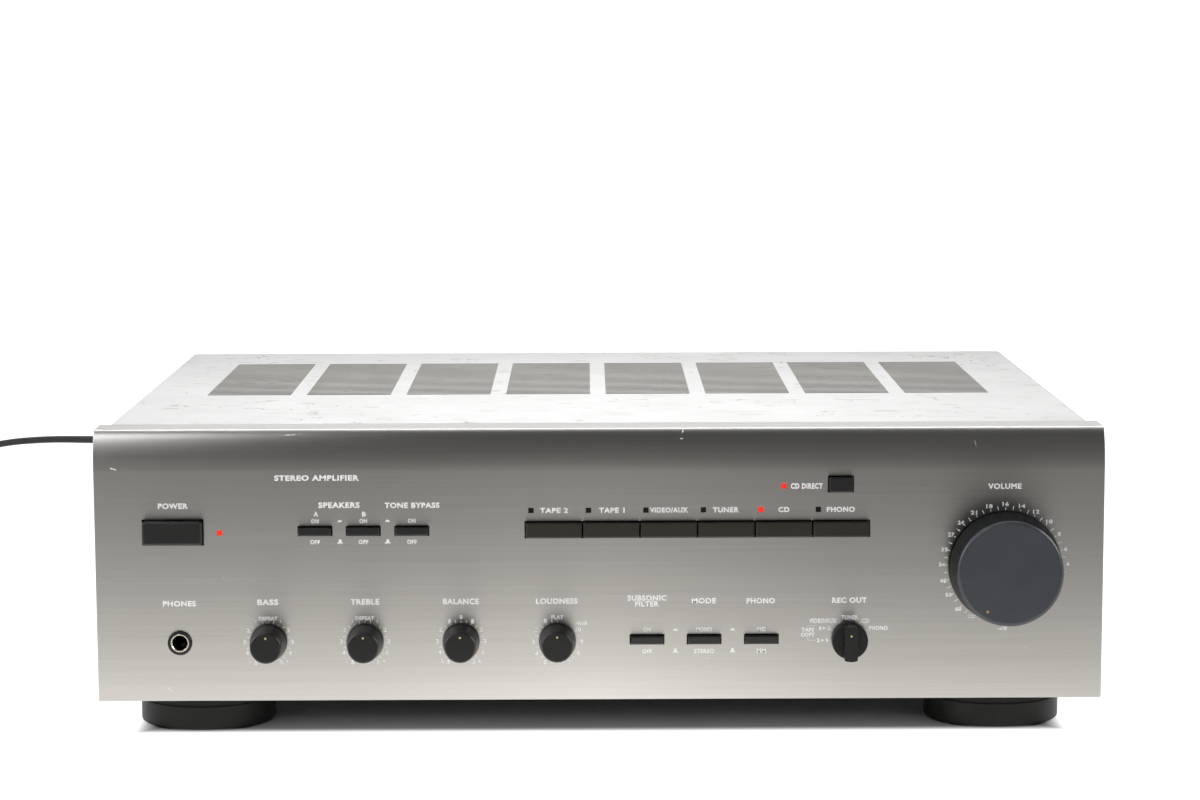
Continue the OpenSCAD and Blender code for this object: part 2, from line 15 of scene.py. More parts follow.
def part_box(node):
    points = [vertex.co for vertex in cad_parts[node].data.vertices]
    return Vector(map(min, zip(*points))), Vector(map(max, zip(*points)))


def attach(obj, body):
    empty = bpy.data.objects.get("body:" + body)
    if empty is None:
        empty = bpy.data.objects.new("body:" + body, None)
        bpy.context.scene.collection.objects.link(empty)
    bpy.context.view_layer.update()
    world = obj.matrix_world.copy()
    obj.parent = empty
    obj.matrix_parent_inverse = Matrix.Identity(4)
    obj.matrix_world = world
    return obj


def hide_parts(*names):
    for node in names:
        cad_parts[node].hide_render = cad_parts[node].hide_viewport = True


MM = 0.001
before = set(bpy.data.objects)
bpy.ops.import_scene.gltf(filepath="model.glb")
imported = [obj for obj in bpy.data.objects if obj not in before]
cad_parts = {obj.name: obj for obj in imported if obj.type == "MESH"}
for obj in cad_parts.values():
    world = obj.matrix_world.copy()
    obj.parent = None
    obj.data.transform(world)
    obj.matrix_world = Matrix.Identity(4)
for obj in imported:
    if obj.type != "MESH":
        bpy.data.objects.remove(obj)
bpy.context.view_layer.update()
scene = bpy.context.scene

FACE_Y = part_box("front_panel")[0].y
TO_FRAME = Matrix.Translation((0, FACE_Y, 0)) @ Matrix.Scale(MM, 4)


def to_frame(point):
    """A point in case coordinates, millimetres, as a point in the frame, metres"""
    return TO_FRAME @ Vector(point)


def case_box(node):
    """Lowest and highest corner of a CAD node in case coordinates, millimetres"""
    shift = Vector((0, FACE_Y, 0))
    low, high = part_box(node)
    return (low - shift) / MM, (high - shift) / MM


# ---- camera ----

LENS = 96.88
CAMERA_AT = (-4.6, -1375, 303.1)
PITCH_DOWN = 8.087
YAW_RIGHT = 0.071
ROLL = -0.216
SHIFT = (0.0063, 0.0713)


def add_camera():
    data = bpy.data.cameras.new("camera")
    data.sensor_width = 36
    data.lens = LENS
    data.shift_x, data.shift_y = SHIFT
    data.clip_start, data.clip_end = 0.05, 50
    camera = bpy.data.objects.new("camera", data)
    scene.collection.objects.link(camera)
    turn = (
        Matrix.Rotation(math.radians(-YAW_RIGHT), 4, "Z")
        @ Matrix.Rotation(math.radians(90 - PITCH_DOWN), 4, "X")
        @ Matrix.Rotation(math.radians(ROLL), 4, "Z")
    )
    camera.matrix_world = Matrix.Translation(to_frame(CAMERA_AT)) @ turn
    scene.camera = camera


add_camera()

# ---- node materials ----


class Nodes:
    """A node tree and the few kinds of node that the materials and the surroundings share"""

    def __init__(self, tree):
        self.tree = tree

    def add(self, kind, **settings):
        node = self.tree.nodes.new(kind)
        for key, value in settings.items():
            setattr(node, key, value)
        return node

    def feed(self, socket, value):
        """Links a socket's source to it, or sets it to a number or a colour"""
        if isinstance(value, bpy.types.NodeSocket):
            self.tree.links.new(value, socket)
        else:
            socket.default_value = (*value, 1) if isinstance(value, tuple) else value

    def split(self, vector):
        """The X, Y and Z sockets of a vector"""
        node = self.add("ShaderNodeSeparateXYZ")
        self.feed(node.inputs[0], vector)
        return node.outputs

    def ramp(self, value, *stops):
        """Colour ramp: stops are (place, colour or grey)"""
        node = self.add("ShaderNodeValToRGB")
        elements = node.color_ramp.elements
        while len(elements) < len(stops):
            elements.new(0.5)
        for element, (place, colour) in zip(elements, stops):
            element.position = place
            element.color = (*colour, 1) if isinstance(colour, tuple) else (colour, colour, colour, 1)
        self.feed(node.inputs["Fac"], value)
        return node.outputs["Color"]

    def mix(self, share, a, b, blend="MIX"):
        """Mixes colours a and b by a share; each of the three is a value or a socket"""
        node = self.add("ShaderNodeMix", data_type="RGBA", blend_type=blend)
        for index, value in ((0, share), (6, a), (7, b)):
            self.feed(node.inputs[index], value)
        return node.outputs[2]

    def math(self, kind, *values):
        node = self.add("ShaderNodeMath", operation=kind)
        for socket, value in zip(node.inputs, values):
            self.feed(socket, value)
        return node.outputs[0]

    def range(self, value, low, high):
        """Spreads a 0-1 value between low and high"""
        return self.math("MULTIPLY_ADD", value, high - low, low)


class Shader(Nodes):
    """A Principled material"""

    def __init__(self, name, **values):
        self.material = bpy.data.materials.new(name)
        self.material.use_nodes = True
        super().__init__(self.material.node_tree)
        self.surface = self.tree.nodes["Principled BSDF"]
        self.where = self.add("ShaderNodeTexCoord").outputs["Object"]
        self.relief = None
        self.set(**values)

    def set(self, **values):
        """Sets or links inputs of the surface by their titles, in small letters"""
        titles = {i.name.lower(): i for i in self.surface.inputs}
        for key, value in values.items():
            self.feed(titles[key.replace("_", " ")], value)

    def noise(self, scale, detail, stretch=(1, 1, 1), distortion=0.0, seed=0.0):
        """Noise over the piece: scale in cycles a metre, stretch per axis"""
        mapping = self.add("ShaderNodeMapping")
        mapping.inputs["Scale"].default_value = stretch
        mapping.inputs["Location"].default_value = (seed, seed, seed)
        self.feed(mapping.inputs["Vector"], self.where)
        noise = self.add("ShaderNodeTexNoise")
        for title, value in (("Scale", scale), ("Detail", detail), ("Distortion", distortion),
                             ("Vector", mapping.outputs[0])):
            self.feed(noise.inputs[title], value)
        return noise.outputs["Fac"]

    def bump(self, height, depth):
        """Adds relief of that depth in metres over what is there already"""
        node = self.add("ShaderNodeBump")
        self.feed(node.inputs["Distance"], depth)
        self.feed(node.inputs["Height"], height)
        if self.relief is not None:
            self.feed(node.inputs["Normal"], self.relief)
        self.relief = node.outputs["Normal"]
        self.set(normal=self.relief)

    def unlit(self):
        """Keeps the renderer from sampling the glow as a light"""
        self.material.cycles.emission_sampling = "NONE"
        return self.material


def moulded(name, colour, roughness, grain, lighter=1.35, gloss=0.3):
    """Moulded plastic: fine even grain, faint clouding of colour and gloss"""
    s = Shader(name, specular_ior_level=gloss)
    pale = tuple(min(1.0, c * lighter) for c in colour)
    s.set(base_color=s.ramp(s.noise(90, 5), (0.35, colour), (0.75, pale)),
          roughness=s.range(s.noise(400, 3, seed=3.1), roughness - 0.06, roughness + 0.08))
    s.bump(s.noise(5200, 2, seed=1.7), 0.00002 * grain)
    return s


def metal(name, colour, roughness, brushed=(1, 1, 1)):
    """Bare or plated metal with faint stains; brushed stretches its fine grain along an axis"""
    s = Shader(name, metallic=1.0)
    stained = tuple(c * 0.86 for c in colour)
    s.set(base_color=s.ramp(s.noise(60, 5), (0.3, stained), (0.7, colour)),
          roughness=s.range(s.noise(300, 4, seed=2.3), roughness - 0.05, roughness + 0.1))
    s.bump(s.noise(1400, 3, stretch=brushed, seed=0.9), 0.000012)
    return s


def thin_lines(s, scale, width, cover, seed, stretch=(1, 1.6, 1)):
    """Hairline scratches: narrow contours of a warped noise, kept only in patches"""
    warped = s.noise(scale, 2, stretch=stretch, distortion=0.6, seed=seed)
    off = s.math("ABSOLUTE", s.math("SUBTRACT", warped, 0.5))
    line = s.math("LESS_THAN", off, width)
    patch = s.math("GREATER_THAN", s.noise(scale * 0.9, 3, seed=seed + 5), cover)
    return s.math("MULTIPLY", line, patch)


def brushed_panel():
    """Grey anodised aluminium, brushed along X, with a few pale specks where it is chipped"""
    s = Shader("brushed_panel", metallic=1.0, roughness=0.3, anisotropic=0.8)
    streak = s.noise(1.0, 4, stretch=(9, 2100, 2100))
    broad = s.noise(1.0, 3, stretch=(2.5, 700, 700), seed=4.0)
    fine = s.ramp(streak, (0.3, (0.61, 0.6, 0.583)), (0.7, (0.65, 0.64, 0.622)))
    tint = s.ramp(broad, (0.35, 0.97), (0.65, 1.0))
    specks = s.math("GREATER_THAN", s.noise(420, 1, seed=8.2), 0.845)
    metal_colour = s.mix(1.0, fine, tint, "MULTIPLY")
    tangent = s.add("ShaderNodeTangent", direction_type="UV_MAP", uv_map="along")
    s.set(base_color=s.mix(specks, metal_colour, (0.9, 0.88, 0.84)), tangent=tangent.outputs[0])
    s.bump(streak, 0.0000022)
    return s


def silver_paint():
    """Baked silver-grey paint: fine texture, and scrapes, hairlines and scuffs on its upward faces"""
    s = Shader("silver_paint")
    base = s.ramp(s.noise(35, 5), (0.3, (0.6, 0.6, 0.595)), (0.7, (0.66, 0.66, 0.655)))
    scrape = thin_lines(s, 60, 0.012, 0.56, 3.0, (0.12, 1, 1))
    hair = thin_lines(s, 26, 0.004, 0.56, 0.0)
    scuff = thin_lines(s, 45, 0.008, 0.62, 7.0)
    marked = s.mix(scrape, base, (0.5, 0.49, 0.48))
    marked = s.mix(hair, marked, (0.34, 0.33, 0.32))
    marked = s.mix(scuff, marked, (0.24, 0.23, 0.22))
    upward = s.math("GREATER_THAN", s.split(s.add("ShaderNodeNewGeometry").outputs["True Normal"])[2], 0.7)
    s.set(base_color=s.mix(upward, base, marked),
          roughness=s.range(s.noise(200, 4, seed=2.0), 0.32, 0.46))
    s.bump(s.noise(2600, 3, seed=5.0), 0.00002)
    return s


def glowing(name, colour, strength):
    """Lit window with an even glow"""
    s = Shader(name, roughness=0.3, base_color=tuple(0.3 * c for c in colour),
               emission_color=colour, emission_strength=strength)
    s.bump(s.noise(3000, 2), 0.00001)
    return s


def printed_ink():
    """White screen-printed ink, very slightly uneven"""
    s = Shader("printed_ink", roughness=0.5)
    s.set(base_color=s.ramp(s.noise(900, 3), (0.3, (0.88, 0.88, 0.86)), (0.7, (0.96, 0.96, 0.94))))
    return s


def layered(name, layers, stops, depth, **values):
    """Layers or tracks: one noise, given by its settings, colours the surface and lifts it"""
    s = Shader(name, **values)
    height = s.noise(**layers)
    s.set(base_color=s.ramp(height, *stops))
    s.bump(height, depth)
    return s


INK = printed_ink()
PANEL = brushed_panel()
PAINT = silver_paint()
STEEL = metal("zinc_steel", (0.6, 0.61, 0.62), 0.34, (0.05, 1, 1))
REAR = moulded("rear_paint", (0.05, 0.05, 0.053), 0.5, 1.0)
FOOT = moulded("foot_satin", (0.014, 0.014, 0.013), 0.42, 0.3, 1.3, 0.15)
PAD = moulded("foot_pad", (0.02, 0.02, 0.02), 0.9, 3.0)
OXIDE = metal("black_oxide", (0.07, 0.07, 0.072), 0.4)
SATIN = moulded("satin_charcoal", (0.054, 0.057, 0.066), 0.38, 0.35, 1.12)
# Darker copy of the face colour for the volume knob's side wall: part two-tone moulding, part painted shade
# on the wall
SATIN_SIDE_SHADE = moulded("satin_side_shade", (0.016, 0.017, 0.018), 0.42, 0.35, 1.12, 0.05)
SATIN_RIM = moulded("satin_rim", (0.055, 0.058, 0.067), 0.32, 0.35, 1.12, 0.4)
KNOB_RIM = moulded("black_rim", (0.016, 0.016, 0.016), 0.3, 0.35, 1.15, 0.6)
KNOB = moulded("satin_black", (0.013, 0.013, 0.013), 0.36, 0.35, 1.15)
BUTTON = moulded("button_satin", (0.015, 0.015, 0.015), 0.34, 0.35, 1.15, 0.5)
KEY = moulded("key_satin", (0.024, 0.022, 0.015), 0.34, 0.35, 1.15, 0.5)
DOT = moulded("dot_paint", (0.36, 0.25, 0.11), 0.5, 0.1, 1.1)
PALE_DOT = moulded("pale_dot_paint", (0.62, 0.5, 0.25), 0.5, 0.1, 1.1)
# Near-black colour with no reflection for the knobs' base ring: painted shade where the knob meets the panel
SKIRT_SHADE = moulded("knob_skirt_shade", (0.003, 0.003, 0.003), 0.5, 0.35, 1.15, 0.0)
CHIP = moulded("chipped_edge", (0.78, 0.77, 0.74), 0.55, 0.6, 1.1)
# Dark colour for the vent slots' walls: part bare punched edge, part painted shade inside the slots
SLOT_WALL_SHADE = moulded("slot_wall_edge_shade", (0.13, 0.112, 0.08), 0.6, 0.5)
LIT = glowing("lamp_red", (1.0, 0.025, 0.008), 0.8)
DARK = moulded("lamp_off", (0.012, 0.008, 0.007), 0.3, 0.1)
GOLD = metal("gold_plate", (0.86, 0.66, 0.34), 0.2)
PALE_RING = metal("pale_plate", (0.85, 0.79, 0.66), 0.22)
NICKEL = metal("nickel_plate", (0.74, 0.72, 0.67), 0.2)
JACK = moulded("jack_black", (0.018, 0.018, 0.018), 0.32, 0.2)
RED = moulded("cap_red", (0.42, 0.012, 0.012), 0.25, 0.2)
BLACK = moulded("cap_black", (0.022, 0.022, 0.023), 0.25, 0.2)
WHITE = moulded("insulator_white", (0.78, 0.78, 0.76), 0.35, 0.2, 1.05)
PVC = moulded("cord_jacket", (0.018, 0.018, 0.019), 0.42, 0.5)
PLUG = moulded("plug_moulding", (0.022, 0.022, 0.023), 0.45, 1.2)
LAMINATE = layered("board_laminate", {"scale": 130, "detail": 1, "stretch": (1, 0.3, 1), "distortion": 2.0},
                   ((0.42, (0.42, 0.28, 0.12)), (0.5, (0.3, 0.22, 0.08)), (0.58, (0.46, 0.31, 0.14))),
                   0.00004, roughness=0.42)
CORE = layered("laminated_core", {"scale": 1.0, "detail": 1, "stretch": (2, 1900, 2)},
               ((0.35, (0.07, 0.062, 0.055)), (0.65, (0.19, 0.175, 0.16))),
               0.0001, metallic=0.5, roughness=0.45)
TAPE = layered("winding_tape", {"scale": 1.0, "detail": 2, "stretch": (8, 8, 420)},
               ((0.35, (0.5, 0.33, 0.06)), (0.65, (0.72, 0.53, 0.14))), 0.0002, roughness=0.35)
SLEEVE = moulded("capacitor_sleeve", (0.02, 0.028, 0.055), 0.22, 0.2)
SINK = metal("black_anodised", (0.05, 0.05, 0.052), 0.42, (1, 1, 0.05))
EPOXY = moulded("epoxy_package", (0.025, 0.025, 0.026), 0.5, 1.5)
HOUSING = moulded("switch_housing", (0.62, 0.62, 0.57), 0.45, 0.6, 1.1)

# ---- mesh helpers ----

SHARP = math.radians(32)


def carve(mesh, cutters, operation="DIFFERENCE"):
    """Cuts a mesh by, or joins it with, the shapes in another bmesh"""
    cutter_mesh = bpy.data.meshes.new("cutter")
    bmesh.ops.recalc_face_normals(cutters, faces=cutters.faces)
    cutters.to_mesh(cutter_mesh)
    cutters.free()
    cutter = bpy.data.objects.new("cutter", cutter_mesh)
    target = bpy.data.objects.new("target", mesh)
    for obj in (cutter, target):
        scene.collection.objects.link(obj)
    modifier = target.modifiers.new("cut", "BOOLEAN")
    modifier.operation = operation
    modifier.solver = "EXACT"
    modifier.object = cutter
    cut = bpy.data.meshes.new_from_object(target.evaluated_get(bpy.context.evaluated_depsgraph_get()))
    for obj in (cutter, target):
        bpy.data.objects.remove(obj)
    return cut


def as_mesh(bm):
    mesh = bpy.data.meshes.new("work")
    bmesh.ops.remove_doubles(bm, verts=bm.verts, dist=0.0005)
    bmesh.ops.recalc_face_normals(bm, faces=bm.faces)
    bm.to_mesh(mesh)
    bm.free()
    return mesh


def piece(name, shape, material, body="case", replaces=(), bevel=0.0, segments=2):
    """Turns a shape in case coordinates into a finished piece that rides on a body"""
    mesh = shape if isinstance(shape, bpy.types.Mesh) else as_mesh(shape)
    mesh.name = name
    mesh.transform(TO_FRAME)
    obj = bpy.data.objects.new(name, mesh)
    scene.collection.objects.link(obj)
    mesh.materials.clear()
    mesh.materials.append(material.material)
    if bevel:
        edge = obj.modifiers.new("edges", "BEVEL")
        edge.width = bevel * MM
        edge.segments = segments
        edge.limit_method = "ANGLE"
        edge.angle_limit = SHARP
    mesh.shade_smooth()
    mesh.set_sharp_from_angle(angle=SHARP)
    even = obj.modifiers.new("even", "WEIGHTED_NORMAL")
    even.keep_sharp = True
    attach(obj, body)
    if replaces:
        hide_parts(*replaces)
    return obj


def box_in(bm, low, high):
    """Adds a box given by two corners"""
    low, high = Vector(low), Vector(high)
    matrix = Matrix.Translation((low + high) / 2) @ Matrix.Diagonal((*(high - low), 1))
    bmesh.ops.create_cube(bm, size=1, matrix=matrix)


def turned(bm, profile, centre, axis, steps, ribs=None):
    """Turned shape: profile is (radius, distance along the axis). Ribs are (count, depth, from, to)"""
    forward = Vector(axis).normalized()
    side = forward.orthogonal().normalized()
    if abs(forward.z) < 0.5:
        side = Vector(UP)
    other = forward.cross(side)
    rings = []
    for radius, along in profile:
        on_axis = Vector(centre) + forward * along
        if radius == 0:
            rings.append([bm.verts.new(on_axis)])
            continue
        ring = []
        for i in range(steps):
            a = math.tau * i / steps
            r = radius
            if ribs and ribs[2] <= along <= ribs[3]:
                r -= ribs[1] * (0.5 - 0.5 * math.cos(ribs[0] * a))
            ring.append(bm.verts.new(on_axis + side * r * math.cos(a) + other * r * math.sin(a)))
        rings.append(ring)
    for a, b in zip(rings, rings[1:]):
        for i in range(steps):
            j = (i + 1) % steps
            corners = [a[i % len(a)], a[j % len(a)], b[j % len(b)], b[i % len(b)]]
            bm.faces.new(list(dict.fromkeys(corners)))


def rod(bm, radius, start, end, at, axis, steps=32):
    """Plain cylinder from one distance along its axis to another"""
    turned(bm, [(0, start), (radius, start), (radius, end), (0, end)], at, axis, steps)


def round_off(cx, cy, r, start, stop, steps):
    """Points of an arc about (cx, cy), angles in degrees"""
    angles = [math.radians(start + (stop - start) * i / steps) for i in range(steps + 1)]
    return [(cx + r * math.cos(a), cy + r * math.sin(a)) for a in angles]


def mirrored(points):
    """The points in reverse order on the other side of the middle"""
    return [(-u, v) for u, v in reversed(points)]


def and_opposite(points):
    """The points, and then the same turned by half a turn"""
    return points + [(-u, -v) for u, v in points]


def bands(bm, rings):
    """Joins each ring of vertices with the next by a band of faces"""
    for a, b in zip(rings, rings[1:]):
        for i in range(len(a)):
            j = (i + 1) % len(a)
            bm.faces.new([a[i], a[j], b[j], b[i]])


def closed_bands(bm, rings):
    """Bands between the rings, and a face at each end"""
    bands(bm, rings)
    bm.faces.new(list(reversed(rings[0])))
    bm.faces.new(rings[-1])


def prism(bm, outline, matrix, depth):
    """Extrudes a flat outline: outline (u, v) at w = 0 and w = depth, placed by a matrix"""
    closed_bands(bm, [[bm.verts.new(matrix @ Vector((u, v, w))) for u, v in outline]
                      for w in (0, depth)])


ALONG_X = Matrix(((0, 0, 1, 0), (1, 0, 0, 0), (0, 1, 0, 0), (0, 0, 0, 1)))
FACING_FRONT = Matrix(((1, 0, 0, 0), (0, 0, -1, 0), (0, 1, 0, 0), (0, 0, 0, 1)))
FACING_BACK = Matrix(((-1, 0, 0, 0), (0, 0, 1, 0), (0, 1, 0, 0), (0, 0, 0, 1)))
FRONT = (0, -1, 0)
BACK = (0, 1, 0)
UP = (0, 0, 1)

# ---- mains cord ----

LEAD_W = 5.4
LEAD_T = 3.4
LEAD = [
    (-186, 354, 80), (-186, 364, 80), (-187.5, 374, 79.7), (-192.5, 383, 79.2), (-201, 390.5, 78.6),
    (-213, 395.5, 78.1), (-230, 397.5, 77.8), (-254, 397.5, 77.9), (-279, 396.5, 78.2),
    (-304, 395.5, 78.4), (-328, 394.5, 76.4), (-350, 393.5, 70.6), (-370, 392.5, 60),
    (-387, 391.5, 46), (-400, 390.5, 31), (-412, 389, 17.5), (-426, 386.5, 7.5),
    (-442, 382.5, 3.3), (-456, 379.4, 2.4),
]
LEAD_STEPS = 4
TURN_PITCH = LEAD_W + 0.2
COIL_MID_R = 32
COIL_OUT = COIL_MID_R + 1.5 * TURN_PITCH
COIL_IN = COIL_MID_R - 1.5 * TURN_PITCH
LAYER = LEAD_T + 0.1
TURN_STEPS = 24
CLIMB = 45


def eased(t):
    """0 to 1 with a soft start and a soft stop"""
    return t * t * (3 - 2 * t)


def smooth_line(points, steps):
    """A smooth curve through the points, with that many steps from each to the next"""
    p = [Vector(q) for q in points]
    p = [2 * p[0] - p[1]] + p + [2 * p[-1] - p[-2]]
    line = []
    for a, b, c, d in zip(p, p[1:], p[2:], p[3:]):
        for i in range(steps):
            t = i / steps
            square, cube = 2 * a - 5 * b + 4 * c - d, 3 * b - a - 3 * c + d
            line.append((2 * b + (c - a) * t + square * t**2 + cube * t**3) / 2)
    return line + [p[-2]]


def coil_line(centre):
    """The coil: a layer wound inwards, half a turn up, a layer outwards and most of a turn on top.
    Spans are (turns, radius from, radius to, layer from, layer to)"""
    spans = [(3, COIL_OUT, COIL_IN, 0, 0), (0.5, COIL_IN, COIL_IN, 0, 1), (3, COIL_IN, COIL_OUT, 1, 1),
             (0.75, COIL_OUT, COIL_OUT, 1, 2)]
    line = []
    start = 90
    for turns, r_from, r_to, layer_from, layer_to in spans:
        steps = round(turns * TURN_STEPS)
        for i in range(steps):
            turned_by = 360 * turns * i / steps
            a = math.radians(start + turned_by)
            r = r_from + (r_to - r_from) * i / steps
            layer = layer_from + (layer_to - layer_from) * eased(min(1, turned_by / CLIMB))
            z = LEAD_T / 2 + 0.1 + LAYER * layer
            line.append(Vector((centre.x + r * math.cos(a), centre.y + r * math.sin(a), z)))
        start += 360 * turns
    return line


def swept(bm, line, section, tilts):
    """Sweeps a closed section of (across, up) points along a line, tilted by an angle at each point"""
    rings = []
    for i, point in enumerate(line):
        heading = (line[min(i + 1, len(line) - 1)] - line[max(i - 1, 0)]).normalized()
        level = heading.cross(Vector(UP)).normalized()
        up = level.cross(heading)
        c, s = math.cos(tilts[i]), math.sin(tilts[i])
        across, rise = level * c + up * s, up * c - level * s
        rings.append([bm.verts.new(point + across * u + rise * v) for u, v in section])
    closed_bands(bm, rings)


def flat_section(width, thick, steps=7):
    half = (width - thick) / 2
    right = round_off(half, 0, thick / 2, -90, 90, steps)
    return right + mirrored(right)


TAIL_L = 22
TAIL_RIBS = 7
PLUG_BODY = 34
PIN_PITCH = 18.6
coil_low, coil_high = case_box("mains_coil")
plug_low, plug_high = case_box("mains_plug")
COIL_AT = Vector(((coil_low.x + coil_high.x) / 2, (coil_low.y + coil_high.y) / 2, 0))
PLUG_AT = Vector(((plug_low.x + plug_high.x) / 2, plug_high.y, plug_high.z / 2))
TIE_W = 3
TIE_T = 0.5
TIE_ANGLE = math.radians(-52)
EXIT_TILT = math.radians(48)
TILT_LENGTH = 175


def cord_tilts(line):
    """The flat lead leaves twisted and comes to lie flat further along"""
    tilts, gone = [], 0.0
    for a, b in zip([line[0]] + line, line):
        gone += (b - a).length
        tilts.append(EXIT_TILT * (1 - eased(min(1, gone / TILT_LENGTH))))
    return tilts


def build_cord():
    tail = PLUG_AT + Vector((0, -2, 0))
    line = smooth_line(LEAD, LEAD_STEPS) + coil_line(COIL_AT)
    last = line[-1]
    line += smooth_line([last, (last + tail) / 2 + Vector((0, 1, 0.4)), tail], LEAD_STEPS)[1:]
    bm = bmesh.new()
    swept(bm, line, flat_section(LEAD_W, LEAD_T), cord_tilts(line))
    cord = piece("mains_cord", bm, PVC, replaces=("mains_lead", "mains_coil"))
    return cord, line


def build_tie():
    """Twist tie round the coil: a flat band, and its two ends twisted together on top"""
    bm = bmesh.new()
    r0, r1 = COIL_IN - LEAD_W / 2 - 0.6, COIL_OUT + LEAD_W / 2 + 0.6
    top = coil_high.z - 0.2
    corner = 1.6
    loop = (
        round_off(r1 - corner, corner + 0.1, corner, -90, 0, 5)
        + round_off(r1 - corner, top - corner, corner, 0, 90, 5)
        + round_off(r0 + corner, top - corner, corner, 90, 180, 5)
        + round_off(r0 + corner, corner + 0.1, corner, 180, 270, 5)
    )
    out = Vector((math.cos(TIE_ANGLE), math.sin(TIE_ANGLE), 0))
    along = Vector((-math.sin(TIE_ANGLE), math.cos(TIE_ANGLE), 0))
    half, thick = TIE_W / 2, TIE_T
    heart = Vector(((r0 + r1) / 2, top / 2))
    rings = []
    for r, z in loop:
        away = (Vector((r, z)) - heart).normalized()
        outer = r + thick * away.x
        corners = [(r, z, -half), (r, z, half), (outer, z, half), (outer, z, -half)]
        rings.append([bm.verts.new(COIL_AT + out * u + along * w + Vector((0, 0, v)))
                      for u, v, w in corners])
    bands(bm, rings + rings[:1])
    start = COIL_AT + out * (COIL_MID_R - 2) + Vector((0, 0, top + 0.1))
    twist = [start + along * (1.1 * i) + out * 0.2 * i for i in range(12)]
    swept(bm, twist, flat_section(2.4, 0.7, 3), [0.55 * i for i in range(12)])
    return piece("cord_tie", bm, BLACK)


def build_plug():
    """Flat two-pin plug: tapered moulded body, ribbed tail, sleeved pins"""
    x, y0, z = PLUG_AT
    nose, half_w = 9, (plug_high.x - plug_low.x) / 2
    y1, y2 = y0 - TAIL_L, y0 - TAIL_L - PLUG_BODY
    right = [(nose * 0.6, y1 + 2), (nose, y1), (nose + 1.5, y1 - 9), (half_w - 1.2, y2 + 11),
             (half_w, y2 + 8), (half_w, y2)]
    bm = bmesh.new()
    prism(bm, right + mirrored(right), Matrix.Translation((x, 0, 0.05)), 2 * z - 0.1)
    body = piece("plug_body", bm, PLUG, replaces=("mains_plug",),
                 bevel=2.2, segments=4)
    bm = bmesh.new()
    rib = TAIL_L / TAIL_RIBS
    profile = [(0, -0.2), (3.2, -0.2)]
    for i in range(TAIL_RIBS):
        r = 3.5 + 0.28 * i
        profile += [(r, i * rib + 0.4), (r, i * rib + rib * 0.6), (r - 0.6, i * rib + rib * 0.7),
                    (r - 0.6, (i + 1) * rib)]
    turned(bm, profile + [(5, TAIL_L + 2), (0, TAIL_L + 2)], PLUG_AT, FRONT, 32)
    metal_ends = bmesh.new()
    tip = round_off(0, 17.4, 1.6, 0, 90, 5)
    for side in (-1, 1):
        base = (x + side * PIN_PITCH / 2, y2, z)
        turned(bm, [(0, -1), (2, -1), (2, 10), (1.85, 10.2), (0, 10.2)], base, FRONT, 24)
        turned(metal_ends, [(0, 9.8), (1.9, 9.8), (1.9, 17)] + tip[:-1] + [(0, 19)], base, FRONT, 24)
    tail = piece("plug_tail", bm, PLUG)
    pins = piece("plug_pins", metal_ends, NICKEL)
    return [body, tail, pins]


def build_strain_relief():
    """Tapered sleeve: snap collar, then rings that get thinner towards the lead"""
    low, high = case_box("strain_relief")
    centre = ((low.x + high.x) / 2, low.y, (low.z + high.z) / 2)
    back = case_box("rear_panel")[1].y - low.y
    end = high.y - low.y
    profile = [(0, 0), (7.4, 0), (8, 0.6), (8, 5.6), (6.5, 6), (6.5, back), (7.4, back), (8, back + 0.5),
               (8, back + 2), (7.2, back + 2.6)]
    rings = 6
    start = back + 3
    pitch = (end - start) / rings
    for i in range(rings):
        r = 5.6 - 2.0 * i / rings
        at = start + i * pitch
        profile += [(r, at), (r - 0.25, at + pitch * 0.62), (r - 1.3, at + pitch * 0.66),
                    (r - 1.35, at + pitch * 0.96)]
    bm = bmesh.new()
    turned(bm, profile + [(3.3, end - 0.1), (0, end - 0.1)], centre, BACK, 48)
    return piece("cord_strain_relief", bm, PLUG, replaces=("strain_relief",))


cord, cord_line = build_cord()
relief = build_strain_relief()
build_plug() + [build_tie(), relief]

# ---- case ----

PANEL_W = 435
PANEL_T = 5
CASE_Z = 14
TOP_Z = 132
LIP_D = 24
LIP_T = 3.5
EDGE_D = 6.5
EDGE_H = 18
EDGE_STEPS = 32
FOOT_LEAN = 0.2
FOOT_LEAN_H = 12
SLOT_GAP = 0.5
BUSH_HOLE = 5
LOWER_ROW = 39.6
PHONES_X = -181.7
LAMP_GAP = 0.1
THROUGH = 1
BUTTONS = ["power_button", "speaker_a_button", "speaker_b_button", "tone_bypass_button",
           "cd_direct_button", "subsonic_button", "mode_button", "phono_type_button"]
KEYS = ["tape_2_key", "tape_1_key", "video_key", "tuner_key", "cd_key", "phono_key"]
SMALL_KNOBS = ["bass_knob", "treble_knob", "balance_knob", "loudness_knob"]


def middle(node):
    low, high = case_box(node)
    return (low + high) / 2


LAMP = 2.1
LAMP_ROW = 97
KEY_PITCH = 24.75
KEY_LAMPS = [(middle(key).x - KEY_PITCH / 2 + 2.6, LAMP_ROW) for key in KEYS]
LIT_LAMPS = [(-163.7, 87.7), KEY_LAMPS[4], (79.4, 107.2)]
UNLIT_LAMPS = KEY_LAMPS[:4] + KEY_LAMPS[5:]


def lay_along(obj):
    """UV map whose u runs round the panel's profile, for the tangent of its brushing"""
    mesh = obj.data
    layer = mesh.uv_layers.new(name="along")
    for loop in mesh.loops:
        x, y, z = mesh.vertices[loop.vertex_index].co
        layer.data[loop.index].uv = (z + y, x)


